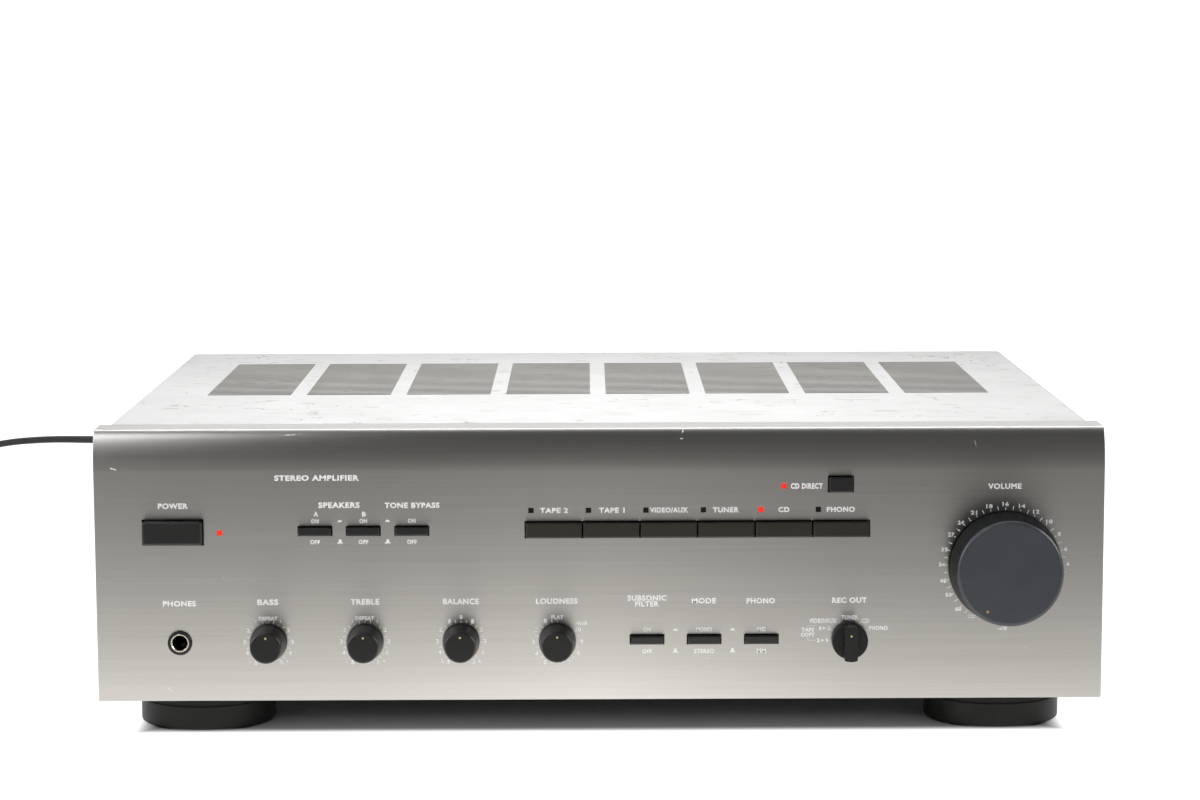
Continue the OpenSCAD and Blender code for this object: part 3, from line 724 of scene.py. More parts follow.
def build_front_panel():
    edge = [(EDGE_D * (1 - math.cos(a)), TOP_Z - EDGE_H + EDGE_H * math.sin(a))
            for a in (math.pi / 2 * i / EDGE_STEPS for i in range(EDGE_STEPS + 1))]
    profile = [(PANEL_T, CASE_Z), (FOOT_LEAN, CASE_Z), (0, CASE_Z + FOOT_LEAN_H)] + edge + [
        (LIP_D, TOP_Z), (LIP_D, TOP_Z - LIP_T), (EDGE_D + 2, TOP_Z - LIP_T), (PANEL_T, TOP_Z - EDGE_H)]
    bm = bmesh.new()
    prism(bm, profile, Matrix.Translation((-PANEL_W / 2, 0, 0)) @ ALONG_X, PANEL_W)
    mesh = as_mesh(bm)
    cutters = bmesh.new()
    openings = [case_box(node) for node in BUTTONS]
    openings.append((case_box(KEYS[0])[0], case_box(KEYS[-1])[1]))
    for low, high in openings:
        box_in(cutters, (low.x - SLOT_GAP, -THROUGH, low.z - SLOT_GAP),
               (high.x + SLOT_GAP, PANEL_T + THROUGH, high.z + SLOT_GAP))
    for x, z in LIT_LAMPS + UNLIT_LAMPS:
        half = LAMP / 2 + LAMP_GAP
        box_in(cutters, (x - half, -THROUGH, z - half), (x + half, PANEL_T + THROUGH, z + half))
    centres = [middle(node) for node in SMALL_KNOBS + ["rec_out_knob", "volume_knob"]]
    for x, z in [(c.x, c.z) for c in centres] + [(PHONES_X, LOWER_ROW)]:
        rod(cutters, BUSH_HOLE, -THROUGH, PANEL_T + THROUGH, (x, 0, z), BACK, 48)
    obj = piece("panel_extrusion", carve(mesh, cutters), PANEL,
                replaces=("front_panel",), bevel=0.22)
    lay_along(obj)


COVER_W = 428
CASE_D = 330
SHEET = 1.2
FOLD_R = 2
COVER_Z = CASE_Z + 1
SIDE_FRONT = EDGE_D + 2.5
FLANGE_H = 12
VENT_FIELDS = 8
VENT_PITCH = 46.9
VENT_L = 39.5
VENT_W = 3.2
VENT_SLOTS = 28
VENT_FRONT = 136
VENT_D = 140


def build_cover():
    half = COVER_W / 2
    fold = FOLD_R - SHEET
    outer = round_off(half - FOLD_R, TOP_Z - FOLD_R, FOLD_R, 0, 90, 6)
    inner = round_off(half - FOLD_R, TOP_Z - FOLD_R, fold, 90, 0, 4)
    right = [(half, COVER_Z)] + outer
    inside = [(-half + SHEET, COVER_Z)] + mirrored(inner) + inner + [(half - SHEET, COVER_Z)]
    outline = right + mirrored(right) + inside
    bm = bmesh.new()
    prism(bm, [(-x, z) for x, z in outline], Matrix.Translation((0, LIP_D + 0.2, 0)) @ FACING_BACK,
          CASE_D - LIP_D - 0.2)
    mesh = as_mesh(bm)
    extra = bmesh.new()
    for side in (-1, 1):
        x0, x1 = sorted((side * half, side * (half - SHEET)))
        box_in(extra, (x0, SIDE_FRONT, COVER_Z), (x1, LIP_D + 1, TOP_Z - LIP_T - 0.2))
    box_in(extra, (-half + 0.4, CASE_D - SHEET, TOP_Z - FLANGE_H), (half - 0.4, CASE_D, TOP_Z - 0.5))
    mesh = carve(mesh, extra, "UNION")
    vents = bmesh.new()
    pitch = (VENT_D - VENT_W) / (VENT_SLOTS - 1)
    for i in range(VENT_FIELDS):
        for j in range(VENT_SLOTS):
            x = (i - (VENT_FIELDS - 1) / 2) * VENT_PITCH
            y = VENT_FRONT + j * pitch
            box_in(vents, (x - VENT_L / 2, y, TOP_Z - SHEET - THROUGH),
                   (x + VENT_L / 2, y + VENT_W, TOP_Z + THROUGH))
    cover = piece("cover_sheet", carve(mesh, vents), PAINT,
                  replaces=("top_cover",), bevel=0.2)
    # The vent slots' side walls get the dark colour: painted shade in the slots, together with the bare
    # punched edge
    cover.data.materials.append(SLOT_WALL_SHADE.material)
    low = to_frame((FOLD_R - half, VENT_FRONT - 1, TOP_Z - SHEET - 0.1))
    high = to_frame((half - FOLD_R, VENT_FRONT + VENT_D + 1, TOP_Z + 1))
    for face in cover.data.polygons:
        inside_vents = all(a < c < b for a, c, b in zip(low, face.center, high))
        if abs(face.normal.z) < 0.5 and inside_vents:
            face.material_index = 1


def screw_head(bm, centre, axis, radius, height):
    """Pan head standing on centre, with a cross recess"""
    head = bmesh.new()
    dome = [(radius * math.cos(a), height * (0.35 + 0.65 * math.sin(a)))
            for a in (math.radians(t) for t in (0, 15, 30, 45, 60, 75))]
    turned(head, [(0, 0), (radius, 0)] + dome + [(0, height)], centre, axis, 32)
    mesh = as_mesh(head)
    forward = Vector(axis)
    up = Vector(UP)
    side = forward.cross(up)
    turn = Matrix((side, up, forward)).transposed().to_4x4()
    recess = bmesh.new()
    arm, width, deep = radius * 0.56, radius * 0.17, height * 0.55
    place = Matrix.Translation(Vector(centre) + forward * height) @ turn
    star = and_opposite([(arm, width), (width, width), (width, arm), (-width, arm), (-width, width),
                         (-arm, width)])
    prism(recess, star, place @ Matrix.Translation((0, 0, -deep)), deep + 1)
    bm.from_mesh(carve(mesh, recess))


SCREW_R = 3.8
SCREW_H = 2.4
SIDE_SCREWS_Y = (60, 290)
SIDE_SCREWS_Z = CASE_Z + SHEET + 10
BACK_SCREWS_X = (-150, 0, 150)
BACK_SCREWS_Z = TOP_Z - 7


def build_screws():
    bm = bmesh.new()
    for y in SIDE_SCREWS_Y:
        for side in (-1, 1):
            screw_head(bm, (side * COVER_W / 2, y, SIDE_SCREWS_Z), (side, 0, 0), SCREW_R, SCREW_H)
    for x in BACK_SCREWS_X:
        screw_head(bm, (x, CASE_D, BACK_SCREWS_Z), BACK, SCREW_R, SCREW_H)
    piece("cover_screw_heads", bm, OXIDE, replaces=("cover_screws",), bevel=0.1)


PAD_IN = 12.5
PAD_OUT = 26
PAD_GAP = 0.2
FOOT_BORE = 2.2
FOOT_BORE_TOP = 9
FOOT_RAISE = 0.4


def build_feet():
    """Turned feet with a groove near the top, a sunk screw bore and a soft ring below"""
    for node in ("foot_front_left", "foot_front_right", "foot_rear_left", "foot_rear_right"):
        low, high = case_box(node)
        at = (middle(node).x, middle(node).y, 0)
        r = (high.x - low.x) / 2
        h = high.z
        profile = [(FOOT_BORE, FOOT_BORE_TOP), (8, FOOT_BORE_TOP), (8, 0.7), (9, FOOT_RAISE),
                   (PAD_IN, FOOT_RAISE), (PAD_IN, 1.5), (PAD_OUT, 1.5), (PAD_OUT, FOOT_RAISE),
                   (r - 1.6, FOOT_RAISE)]
        profile += round_off(r - 1.2, 1.6, 1.2, -80, 0, 5)
        profile += [(r, h - 3.4), (r - 0.7, h - 3.1), (r - 0.7, h - 2.4), (r - 0.1, h - 2.1)]
        profile += round_off(r - 1, h - 0.9, 0.9, 0, 90, 4) + [(FOOT_BORE, h), (FOOT_BORE, FOOT_BORE_TOP)]
        bm = bmesh.new()
        turned(bm, profile, at, UP, 96)
        piece(f"{node}_body", bm, FOOT, replaces=(node,))
        bm = bmesh.new()
        inner, outer = PAD_IN + PAD_GAP, PAD_OUT - PAD_GAP
        turned(bm, [(inner, 1.6), (inner, 0.5), (inner + 0.5, 0), (outer - 0.5, 0), (outer, 0.5),
                    (outer, 1.6), (inner, 1.6)], at, UP, 72)
        piece(f"{node}_pad", bm, PAD)


build_front_panel()
build_cover()
build_screws()
build_feet()

# ---- knobs ----

KNOB_GAP = 0.6
SHAFT_R = 3
SIDE_INDEX, RIM_INDEX, SKIRT_SHADE_INDEX = 1, 2, 3


def knob_size(node):
    """Where a knob starts, its radius, its length and how far back its shaft goes"""
    low, high = case_box(node)
    at = Vector((middle(node).x, -KNOB_GAP, middle(node).z))
    return at, (high.x - low.x) / 2, -KNOB_GAP - low.y, high.y


def knob_body(node, tip_less, edge, skirt, material, side, rim):
    """Tapered knob: skirt is the height of its straight part, tip_less how much less its tip's
    radius is. Side and rim are the materials of its wall and of its rounded edge; a side colour darker
    than the face paints shade on the wall, and the straight part at the base gets a near-black colour,
    painted shade where the knob meets the panel"""
    at, r, length, shaft_end = knob_size(node)
    tip = r - tip_less
    bore = SHAFT_R + 0.05
    profile = [(0, length - 2), (bore, length - 2), (bore, 0), (r - 0.4, 0), (r, 0.4), (r, skirt)]
    profile += round_off(tip - edge, length - edge, edge, 6, 90, 12)
    bm = bmesh.new()
    turned(bm, profile + [(0, length)], at, FRONT, 128)
    body = piece(f"{node}_body", bm, material, node, (node,))
    for other in (side, rim, SKIRT_SHADE):
        body.data.materials.append(other.material)
    skirt_y = to_frame((0, -KNOB_GAP - skirt, 0)).y
    for face in body.data.polygons:
        # The base ring gets the near-black painted shade of the gap at the panel
        if face.center.y > skirt_y:
            face.material_index = SKIRT_SHADE_INDEX
        elif abs(face.normal.y) < 0.3:
            face.material_index = SIDE_INDEX
        elif abs(face.normal.y) < 0.96:
            face.material_index = RIM_INDEX
    bm = bmesh.new()
    turned(bm, [(0, 0.5), (SHAFT_R - 0.3, 0.5), (SHAFT_R, 1), (SHAFT_R, length - 2.1), (0, length - 2.1)],
           at, FRONT, 32)
    rod(bm, SHAFT_R, -KNOB_GAP, shaft_end, (at.x, 0, at.z), BACK)
    piece(f"{node}_shaft", bm, STEEL, node)
    return at, length


def dot(name, node, x, z, front, radius, material=DOT):
    """Painted dot, a hair proud of the face that it is on"""
    bm = bmesh.new()
    turned(bm, [(0, -0.3), (radius, -0.3), (radius, 0.02), (radius * 0.7, 0.05), (0, 0.06)],
           (x, front, z), FRONT, 24)
    piece(name, bm, material, node)


def build_knobs():
    # The volume knob's wall gets the darker side colour, which is partly painted shade
    at, length = knob_body("volume_knob", 1.4, 2.0, 2.4, SATIN, SATIN_SIDE_SHADE, SATIN_RIM)
    dot("volume_dot", "volume_knob", at.x - 9.7, at.z - 16.2, at.y - length, 0.6)
    for node in SMALL_KNOBS:
        at, length = knob_body(node, 1.2, 0.8, 1.5, KNOB, KNOB, KNOB_RIM)
        dot(f"{node}_dot", node, at.x, at.z + 4.3, at.y - length, 0.45, PALE_DOT)


def build_selector():
    """Selector: a thin disc with a grip bar across it"""
    node = "rec_out_knob"
    at, r, length, shaft_end = knob_size(node)
    disc, half = 3, 2.8
    bm = bmesh.new()
    rim = round_off(r - 0.5, disc - 0.5, 0.5, 0, 90, 4)
    turned(bm, [(0, 0), (r - 0.3, 0), (r, 0.3), (r, disc - 0.5)] + rim + [(0, disc)], at, FRONT, 96)
    mesh = as_mesh(bm)
    grip = bmesh.new()
    end = math.degrees(math.asin(half / (r - 0.2)))
    outline = and_opposite(round_off(0, 0, r - 0.2, 90 - end, 90 + end, 8))
    prism(grip, outline, Matrix.Translation((at.x, at.y - 1, at.z)) @ FACING_FRONT, length - 1)
    mesh = carve(mesh, grip, "UNION")
    bore = bmesh.new()
    rod(bore, SHAFT_R, -1, 6, at, FRONT)
    piece("rec_out_body", carve(mesh, bore), KNOB, node, (node,), bevel=0.35, segments=3)
    bm = bmesh.new()
    turned(bm, [(0, -6.4), (SHAFT_R - 0.6, -6.4), (SHAFT_R - 0.6, 0.6), (SHAFT_R, 0.6),
                (SHAFT_R, shaft_end), (0, shaft_end)], (at.x, 0, at.z), BACK, 32)
    piece("rec_out_shaft", bm, STEEL, node)
    dot("rec_out_dot", node, at.x, at.z + 3.7, at.y - length, 0.45, PALE_DOT)


build_knobs()
build_selector()

# ---- buttons ----

CAP_BACK = 4
STEM = 3


def build_button(node, material, edge):
    """Cap with rounded edges on a square stem"""
    low, high = case_box(node)
    x, z = middle(node).x, middle(node).z
    bm = bmesh.new()
    box_in(bm, low, (high.x, CAP_BACK, high.z))
    piece(f"{node}_cap", bm, material, node, (node,), bevel=edge, segments=4)
    bm = bmesh.new()
    half = STEM / 2
    box_in(bm, (x - half, CAP_BACK - 0.1, z - half), (x + half, high.y, z + half))
    piece(f"{node}_stem", bm, HOUSING, node, bevel=0.2)


def build_buttons():
    build_button("power_button", BUTTON, 1.1)
    for node in BUTTONS[1:]:
        build_button(node, BUTTON, 0.5)
    for node in KEYS:
        build_button(node, KEY, 0.55)


build_buttons()

# ---- headphone socket and lamps ----


def build_headphone_socket():
    at = (PHONES_X, 0, LOWER_ROW)
    low, high = case_box("headphone_jack")
    bore, rim = 3.2, 4.1
    bm = bmesh.new()
    turned(bm, [(rim, 0.9), (5.3, 0.01), (5.3, 0.7), (5.0, 1.15), (4.3, 1.2), (rim, 0.9)], at, FRONT, 64)
    turned(bm, [(bore, 0), (4.6, 0), (4.6, 7), (bore, 7), (bore, 0)], at, BACK, 48)
    piece("jack_collar", bm, JACK, replaces=("headphone_jack",))
    bm = bmesh.new()
    turned(bm, [(bore, 0), (rim, 0), (rim, 0.9), (3.9, 1.05), (3.5, 1.05), (bore, 0.7), (bore, 0)],
           at, FRONT, 64)
    piece("jack_ring", bm, PALE_RING)
    bm = bmesh.new()
    box_in(bm, (low.x, PANEL_T + SHEET, low.z), (high.x, high.y, high.z))
    mesh = as_mesh(bm)
    hole = bmesh.new()
    rod(hole, bore, 0, 29.5, at, BACK, 48)
    piece("jack_housing", carve(mesh, hole), JACK, bevel=0.4)
    bm = bmesh.new()
    for side in (-1, 1):
        z = LOWER_ROW + side * 2.7
        box_in(bm, (PHONES_X - 1.2, 12, z - 0.3), (PHONES_X + 1.2, 26, z + 0.3))
    piece("jack_springs", bm, NICKEL, bevel=0.1)


def build_lamps():
    for name, node, places, material, slot in (
            ("lamp_windows_lit", "lit_indicators", LIT_LAMPS, LIT, "lamp_lit"),
            ("lamp_windows_dark", "unlit_indicators", UNLIT_LAMPS, DARK, "lamp_dark")):
        low, high = case_box(node)
        bm = bmesh.new()
        for x, z in places:
            box_in(bm, (x - LAMP / 2, low.y, z - LAMP / 2), (x + LAMP / 2, high.y, z + LAMP / 2))
        piece(name, bm, material, replaces=(node,), bevel=0.12)


build_headphone_socket()
build_lamps()

# ---- rear ----

REAR_BACK = CASE_D - SHEET
SPEAKER_X = -70
POST_PITCH = 25
POST_ROWS = (88, 54)
POSTS = [(SPEAKER_X + (i - 1.5) * POST_PITCH, z) for z in POST_ROWS for i in range(4)]
SOCKET_X = 105
SOCKET_PITCH = 22
SOCKET_ROWS = (102, 80)
SOCKETS = [(SOCKET_X + (i - 3.5) * SOCKET_PITCH, z) for z in SOCKET_ROWS for i in range(8)]
GROUND = (196, 48)
POST_R = 3.5
POST_BORE = 2.05
BARREL_R = 4.15
SLEEVE_R = 1.9


def build_sockets():
    """Phono sockets: hex nut ring, barrel, coloured insulator, contact sleeve"""
    barrels, nuts = bmesh.new(), bmesh.new()
    insulators = {"red": bmesh.new(), "white": bmesh.new()}
    tip = case_box("phono_sockets")[1].y - REAR_BACK
    for x, z in SOCKETS:
        at = (x, REAR_BACK, z)
        turned(nuts, [(BARREL_R, 0), (5.2, 0), (5.5, 0.25), (5.5, 0.8), (5.3, 1), (BARREL_R, 1),
                      (BARREL_R, 0)], at, BACK, 6)
        turned(barrels, [(3.5, tip - 7.5), (BARREL_R, -0.2), (BARREL_R, tip - 0.3), (3.9, tip), (3.6, tip),
                         (3.5, tip - 0.3), (3.5, tip - 7.5)], at, BACK, 40)
        turned(barrels, [(1.6, tip - 8), (SLEEVE_R, tip - 8), (SLEEVE_R, tip - 0.9), (1.6, tip - 0.9),
                         (1.6, tip - 8)], at, BACK, 24)
        rod(barrels, 2.9, -15.1, 0.2, at, BACK, 24)
        colour = "white" if z == SOCKET_ROWS[0] else "red"
        turned(insulators[colour], [(SLEEVE_R, tip - 7.5), (3.48, tip - 7.5), (3.48, tip - 1.2),
                                    (3.2, tip - 1.0), (SLEEVE_R, tip - 1.0), (SLEEVE_R, tip - 7.5)],
               at, BACK, 32)
    piece("socket_barrels", barrels, GOLD, replaces=("phono_sockets",))
    piece("socket_nuts", nuts, NICKEL, bevel=0.15)
    for colour, material in (("red", RED), ("white", WHITE)):
        piece(f"socket_insulators_{colour}", insulators[colour], material)


def cap_cover(node, x, z, bore, material, slot, ribs, depth):
    """Screw-down cap: collar, ribbed grip and a bore through it"""
    low, high = case_box(node)
    length, r = high.y - low.y, (high.x - low.x) / 2
    collar = length * 0.22
    profile = [(bore, 0), (r - 0.5, 0), (r, 0.4), (r, collar - 0.3), (r - 0.5, collar),
               (r - 0.5, collar + 0.5), (r, collar + 0.9), (r, length - 1.1), (r - 0.25, length - 0.5),
               (r - 0.9, length - 0.05), (bore + 0.4, length), (bore, length - 0.3), (bore, 0)]
    bm = bmesh.new()
    turned(bm, profile, (x, low.y, z), BACK, ribs * 8, (ribs, depth, collar + 0.8, length - 0.9))
    piece(f"{node}_grip", bm, material, node, (node,))


def build_terminals():
    low, high = case_box("terminal_base")
    bm = bmesh.new()
    box_in(bm, low, high)
    holes = bmesh.new()
    for x, z in POSTS:
        rod(holes, POST_R + 0.02, -1, 6, (x, REAR_BACK, z), BACK)
    piece("terminal_block", carve(as_mesh(bm), holes), PLUG,
          replaces=("terminal_base",), bevel=0.8, segments=3)
    post_low, post_high = case_box("terminal_posts")
    start, end = post_low.y - REAR_BACK, post_high.y - REAR_BACK
    bm = bmesh.new()
    for x, z in POSTS:
        turned(bm, [(0, start), (POST_R, start), (POST_R, end - 0.5), (POST_R - 0.5, end), (POST_BORE, end),
                    (POST_BORE, start + 8), (0, start + 8)], (x, REAR_BACK, z), BACK, 40)
    turned(bm, [(0, start), (2, start), (2, 13.7), (1.5, 14.2), (0, 14.2)], (GROUND[0], REAR_BACK, GROUND[1]),
           BACK, 32)
    piece("binding_posts", bm, NICKEL, replaces=("terminal_posts",))
    for i, (x, z) in enumerate(POSTS):
        colour = (RED, "cap_red") if i % 2 == 0 else (BLACK, "cap_black")
        cap_cover(f"terminal_cap_{i + 1}", x, z, POST_R + 0.05, *colour, 16, 0.55)
    cap_cover("ground_terminal_cap", *GROUND, POST_BORE, NICKEL, "ground_metal", 30, 0.35)


build_sockets()
build_terminals()

# ---- inside ----


def finish_nodes():
    """Inner parts and the plain sheets keep their CAD shapes and get their materials here"""
    looks = {
        "bottom_chassis": (STEEL, "chassis_steel"), "front_subpanel": (STEEL, "chassis_steel"),
        "rear_panel": (REAR, "rear_paint"), "foot_screws": (STEEL, "screw_zinc"),
        "transformer_core": (CORE, "core_steel"), "transformer_winding": (TAPE, "winding"),
        "heatsink": (SINK, "heatsink_black"), "power_transistors": (EPOXY, "package_black"),
        "main_board": (LAMINATE, "circuit_board"), "input_board": (LAMINATE, "circuit_board"),
        "tone_board": (LAMINATE, "circuit_board"), "filter_capacitors": (SLEEVE, "capacitor_sleeve"),
        "control_pots": (STEEL, "pot_steel"), "push_switches": (HOUSING, "switch_housing"),
    }
    for node, (look, slot) in looks.items():
        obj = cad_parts[node]
        obj.data.materials.clear()
        obj.data.materials.append(look.material)
        obj.data.shade_smooth()
        obj.data.set_sharp_from_angle(angle=SHARP)


finish_nodes()

# ---- printing on the front ----

PRINT_T = 0.03
CAP_HEIGHT = 0.705
LETTER_WEIGHT = 0.042
LETTER_SPACING = 1.12
SMALL_TEXT = 1.75
DIGIT_W = 1.35
VOLUME_STEP = 147.6 / 20
VOLUME_NUMBERS_R = 27.2
VOLUME_NUMBERS_H = 1.65
SMALL_NUMBERS_R = 10.3
SMALL_TICKS_R = 8.6
END_MARKS_R = 11.6
END_MARKS_AT = 136


def ink_on_front(name, bm):
    piece(name, bm, INK)


def label(bm, text, x, z, height, width=None, face=FACING_FRONT, surface=0.0):
    """Adds text to a mesh, centred on (x, z): height is that of its capitals, width its whole width"""
    curve = bpy.data.curves.new("text", "FONT")
    curve.body = text
    curve.offset = LETTER_WEIGHT
    curve.space_character = LETTER_SPACING
    curve.extrude = 0.5
    curve.align_x = "CENTER"
    curve.resolution_u = 3
    obj = bpy.data.objects.new("text", curve)
    scene.collection.objects.link(obj)
    mesh = bpy.data.meshes.new_from_object(obj.evaluated_get(bpy.context.evaluated_depsgraph_get()))
    bpy.data.objects.remove(obj)
    xs = [v.co.x for v in mesh.vertices]
    low, high = min(xs), max(xs)
    tall = height / CAP_HEIGHT
    wide = width / (high - low) if width else tall
    centre = Matrix.Translation((-(low + high) / 2, -CAP_HEIGHT / 2, 0))
    size = Matrix.Diagonal((wide, tall, PRINT_T, 1))
    mesh.transform(Matrix.Translation((x, surface, z)) @ face @ size @ centre)
    bm.from_mesh(mesh)
    bpy.data.meshes.remove(mesh)


def labels(bm, height, rows):
    """Adds texts of one height: rows are (text, x, z) or (text, x, z, width)"""
    for text, x, z, *width in rows:
        label(bm, text, x, z, height, *width)


def patch(bm, outline, x, z, y=0.0, turn=FACING_FRONT):
    """Adds a printed shape given by its outline about a point of the front"""
    place = Matrix.Translation((x, y, z)) @ turn @ Matrix.Translation((0, 0, -PRINT_T / 2))
    prism(bm, outline, place, PRINT_T)


def bar(bm, x0, z0, x1, z1, width):
    """Adds a printed line between two points of the front"""
    a, b = Vector((x0, z0)), Vector((x1, z1))
    along = (b - a).normalized()
    side = Vector((-along.y, along.x)) * width / 2
    patch(bm, [a + side, b + side, b - side, a - side], 0, 0)


def around(cx, cz, r, clock):
    """Point at a clock angle in degrees, 0 at the top and growing clockwise"""
    a = math.radians(clock)
    return cx + r * math.sin(a), cz + r * math.cos(a)


def tick(bm, cx, cz, r0, r1, clock, width):
    bar(bm, *around(cx, cz, r0, clock), *around(cx, cz, r1, clock), width)


def pushed_in_mark(bm, x, z):
    """Push button mark, pressed: a low trapezoid"""
    patch(bm, [(-1.1, -0.45), (1.1, -0.45), (0.5, 0.45), (-0.5, 0.45)], x, z)


def released_mark(bm, x, z):
    """Push button mark, released: a bar with a cap standing on it"""
    patch(bm, [(-1.2, -0.9), (1.2, -0.9), (1.2, -0.4), (0.6, -0.4), (0.6, 0.9), (-0.6, 0.9), (-0.6, -0.4),
               (-1.2, -0.4)], x, z)


def print_headings():
    bm = bmesh.new()
    label(bm, "STEREO AMPLIFIER", -121.5, 111.5, 2.2, 36.4)
    labels(bm, 2.2, (
        ("POWER", -183.5, 99.5, 13), ("TONE BYPASS", -80.6, 99.5, 23.6), ("VOLUME", 174.5, 106.8, 14.4),
        ("PHONES", -181.6, 56.9, 14.3), ("SUBSONIC", 20.5, 58.6, 16.9), ("FILTER", 20.5, 56, 10.3),
        ("MODE", 45.1, 57.3, 10.5), ("PHONO", 69.7, 57.2, 12.3), ("REC OUT", 108, 57.3, 15),
        ("CD DIRECT", 89.3, 107.2, 13.7)))
    labels(bm, 2.3, (
        ("SPEAKERS", -112, 99.7, 17.8), ("BASS", -143.4, 57.4, 9.1), ("TREBLE", -101.4, 57.4, 12.4),
        ("BALANCE", -59.9, 57.4, 15.6), ("LOUDNESS", -18.5, 57.4, 18)))
    labels(bm, 2.0, (("A", -122, 95.8, 1.9), ("B", -101.3, 95.7, 1.7)))
    labels(bm, 2.1, (
        (text, x, LAMP_ROW, width) for text, x, width in (
            ("TAPE 2", -19.5, 12.1), ("TAPE 1", 5.4, 11.1), ("VIDEO/AUX", 30, 16.5),
            ("TUNER", 54.5, 11.2), ("CD", 79.5, 4.8), ("PHONO", 104, 12.1))))
    on_off = ("ON", 3.3, "OFF", 4.2)
    for x, high, low, (upper, upper_w, lower, lower_w) in (
            (-122.5, 92.7, 83.6, on_off), (-101.7, 92.7, 83.6, on_off), (-80.8, 92.7, 83.6, on_off),
            (20.5, 44.7, 35.2, on_off), (45.2, 44.7, 35.2, ("MONO", 6.8, "STEREO", 8.8)),
            (70, 44.7, 35.2, ("MC", 3.6, "MM", 3.9))):
        labels(bm, SMALL_TEXT, ((upper, x, high, upper_w), (lower, x, low, lower_w)))
    for x, high, low in ((-111.7, 92.7, 83.8), (-91.2, 92.7, 83.8), (32.8, 44.6, 35.4), (57.5, 44.6, 35.4)):
        pushed_in_mark(bm, x, high)
        released_mark(bm, x, low)
    ink_on_front("front_headings", bm)


def print_volume_scale():
    bm = bmesh.new()
    x, z = middle("volume_knob").x, middle("volume_knob").z
    numbers = [(-133, 60), (-117, 50), (-103, 40), (-88, 34), (-74, 30), (-59, 27), (-45, 24), (-30, 21),
               (-15, 18), (0, 16), (15, 14), (29, 12), (44, 10), (59, 8), (74, 6), (88, 4)]
    for clock, number in numbers:
        label(bm, str(number), *around(x, z, VOLUME_NUMBERS_R, clock), VOLUME_NUMBERS_H,
              2.75 if number > 9 else 1.2)
    for side in (-1, 1):
        ring_x, ring_z = around(x, z, 26, -147)
        ring = [(ring_x + side * 0.75 + u, ring_z + v) for u, v in round_off(0, 0, 0.72, 0, 360, 16)]
        for a, b in zip(ring, ring[1:]):
            bar(bm, *a, *b, 0.32)
    for i in range(-20, 21):
        tick(bm, x, z, *((24.9, 25.7) if i % 2 == 0 else (24.8, 26.5)), i * VOLUME_STEP, 0.36)
    label(bm, "-dB", x - 0.5, 44.7, VOLUME_NUMBERS_H, 4)
    ink_on_front("volume_scale", bm)


def small_ticks(bm, cx, first, last):
    """Ticks round a small knob, 15 degrees apart, each second one longer"""
    for i in range(first, last + 1):
        tick(bm, cx, LOWER_ROW, SMALL_TICKS_R, 9.2 if i % 2 == 0 else 9.9, i * 15, 0.32)


def small_scale(bm, cx, numbers, zero, low_end, high_end):
    """Scale of a tone knob. Numbers are (clock, text), the same on both sides; zero is the text, width
    and height above the knob's middle of its top mark; the ends are the marks at the end stops"""
    text, width, above = zero
    label(bm, text, cx, LOWER_ROW + above, 1.6, width)
    for clock, text in numbers + [(-clock, text) for clock, text in numbers]:
        label(bm, text, *around(cx, LOWER_ROW, SMALL_NUMBERS_R, clock), SMALL_TEXT, DIGIT_W)
    small_ticks(bm, cx, -10, 10)
    for mark, clock in ((low_end, -END_MARKS_AT), (high_end, END_MARKS_AT)):
        label(bm, mark, *around(cx, LOWER_ROW, END_MARKS_R, clock), 1.5)


def print_small_scales():
    bm = bmesh.new()
    xs = [middle(node).x for node in SMALL_KNOBS]
    steps = [(58, "2"), (88, "3"), (116, "4"), (148, "5")]
    for cx in xs[:2]:
        small_scale(bm, cx, steps, ("DEFEAT", 8.2, 10.6), "-", "+")
        for side in (-1, 1):
            bar(bm, cx + side * 5.3, LOWER_ROW + 9.9, cx + side * 5.4, LOWER_ROW + SMALL_TICKS_R, 0.25)
    small_scale(bm, xs[2], [(29, "1")] + steps, ("0", DIGIT_W, 10.9), "L", "R")
    for i in range(1, 11):
        label(bm, str(i), *around(xs[3], LOWER_ROW, 10.5, -30 * i), SMALL_TEXT,
              2.3 if i > 9 else DIGIT_W)
    small_ticks(bm, xs[3], -20, 0)
    label(bm, "FLAT", xs[3], LOWER_ROW + 10.7, 1.7, 5.2)
    label(bm, "-40dB", -8.1, 47.6, 1.5, 5.3)
    ink_on_front("small_scales", bm)


def chip(bm, x, z, length, height, angle):
    """Adds a chip in the front panel's skin: a ragged lens, laid on the rounded edge where it is there"""
    rise = max(0.0, z - (TOP_Z - EDGE_H)) / EDGE_H
    depth = EDGE_D * (1 - math.sqrt(1 - rise * rise))
    lean = math.atan2(EDGE_D * rise, EDGE_H * math.sqrt(1 - rise * rise))
    turn = Matrix.Rotation(-lean, 4, "X") @ FACING_FRONT @ Matrix.Rotation(math.radians(angle), 4, "Z")
    outline = [(-0.5, 0.05), (-0.22, -0.4), (0.06, -0.22), (0.3, -0.5), (0.5, -0.1),
               (0.24, 0.3), (0.02, 0.14), (-0.2, 0.5)]
    patch(bm, [(u * length, v * height) for u, v in outline], x, z, depth, turn)


def build_chips():
    bm = bmesh.new()
    for x, z, length, height, angle in (
            (-132.8, 129.8, 5.2, 0.7, 4), (-128.4, 130.2, 1.6, 0.4, 0), (-208.9, 115.7, 3.2, 0.9, -12),
            (-202.6, 115.9, 0.6, 0.4, 0), (36.1, 130.8, 2.3, 0.6, 80), (35.5, 127.7, 1.3, 0.6, 15),
            (-186.6, 19.3, 3.4, 1.1, -28), (-162.4, 68.4, 0.8, 0.5, 40), (161.8, 125.2, 2.6, 0.2, -75),
            (-196.5, 46.8, 0.5, 0.3, 0), (60.5, 64.5, 0.5, 0.3, 30), (141.5, 95.2, 0.5, 0.4, 0)):
        chip(bm, x, z, length, height, angle)
    piece("panel_chips", bm, CHIP)


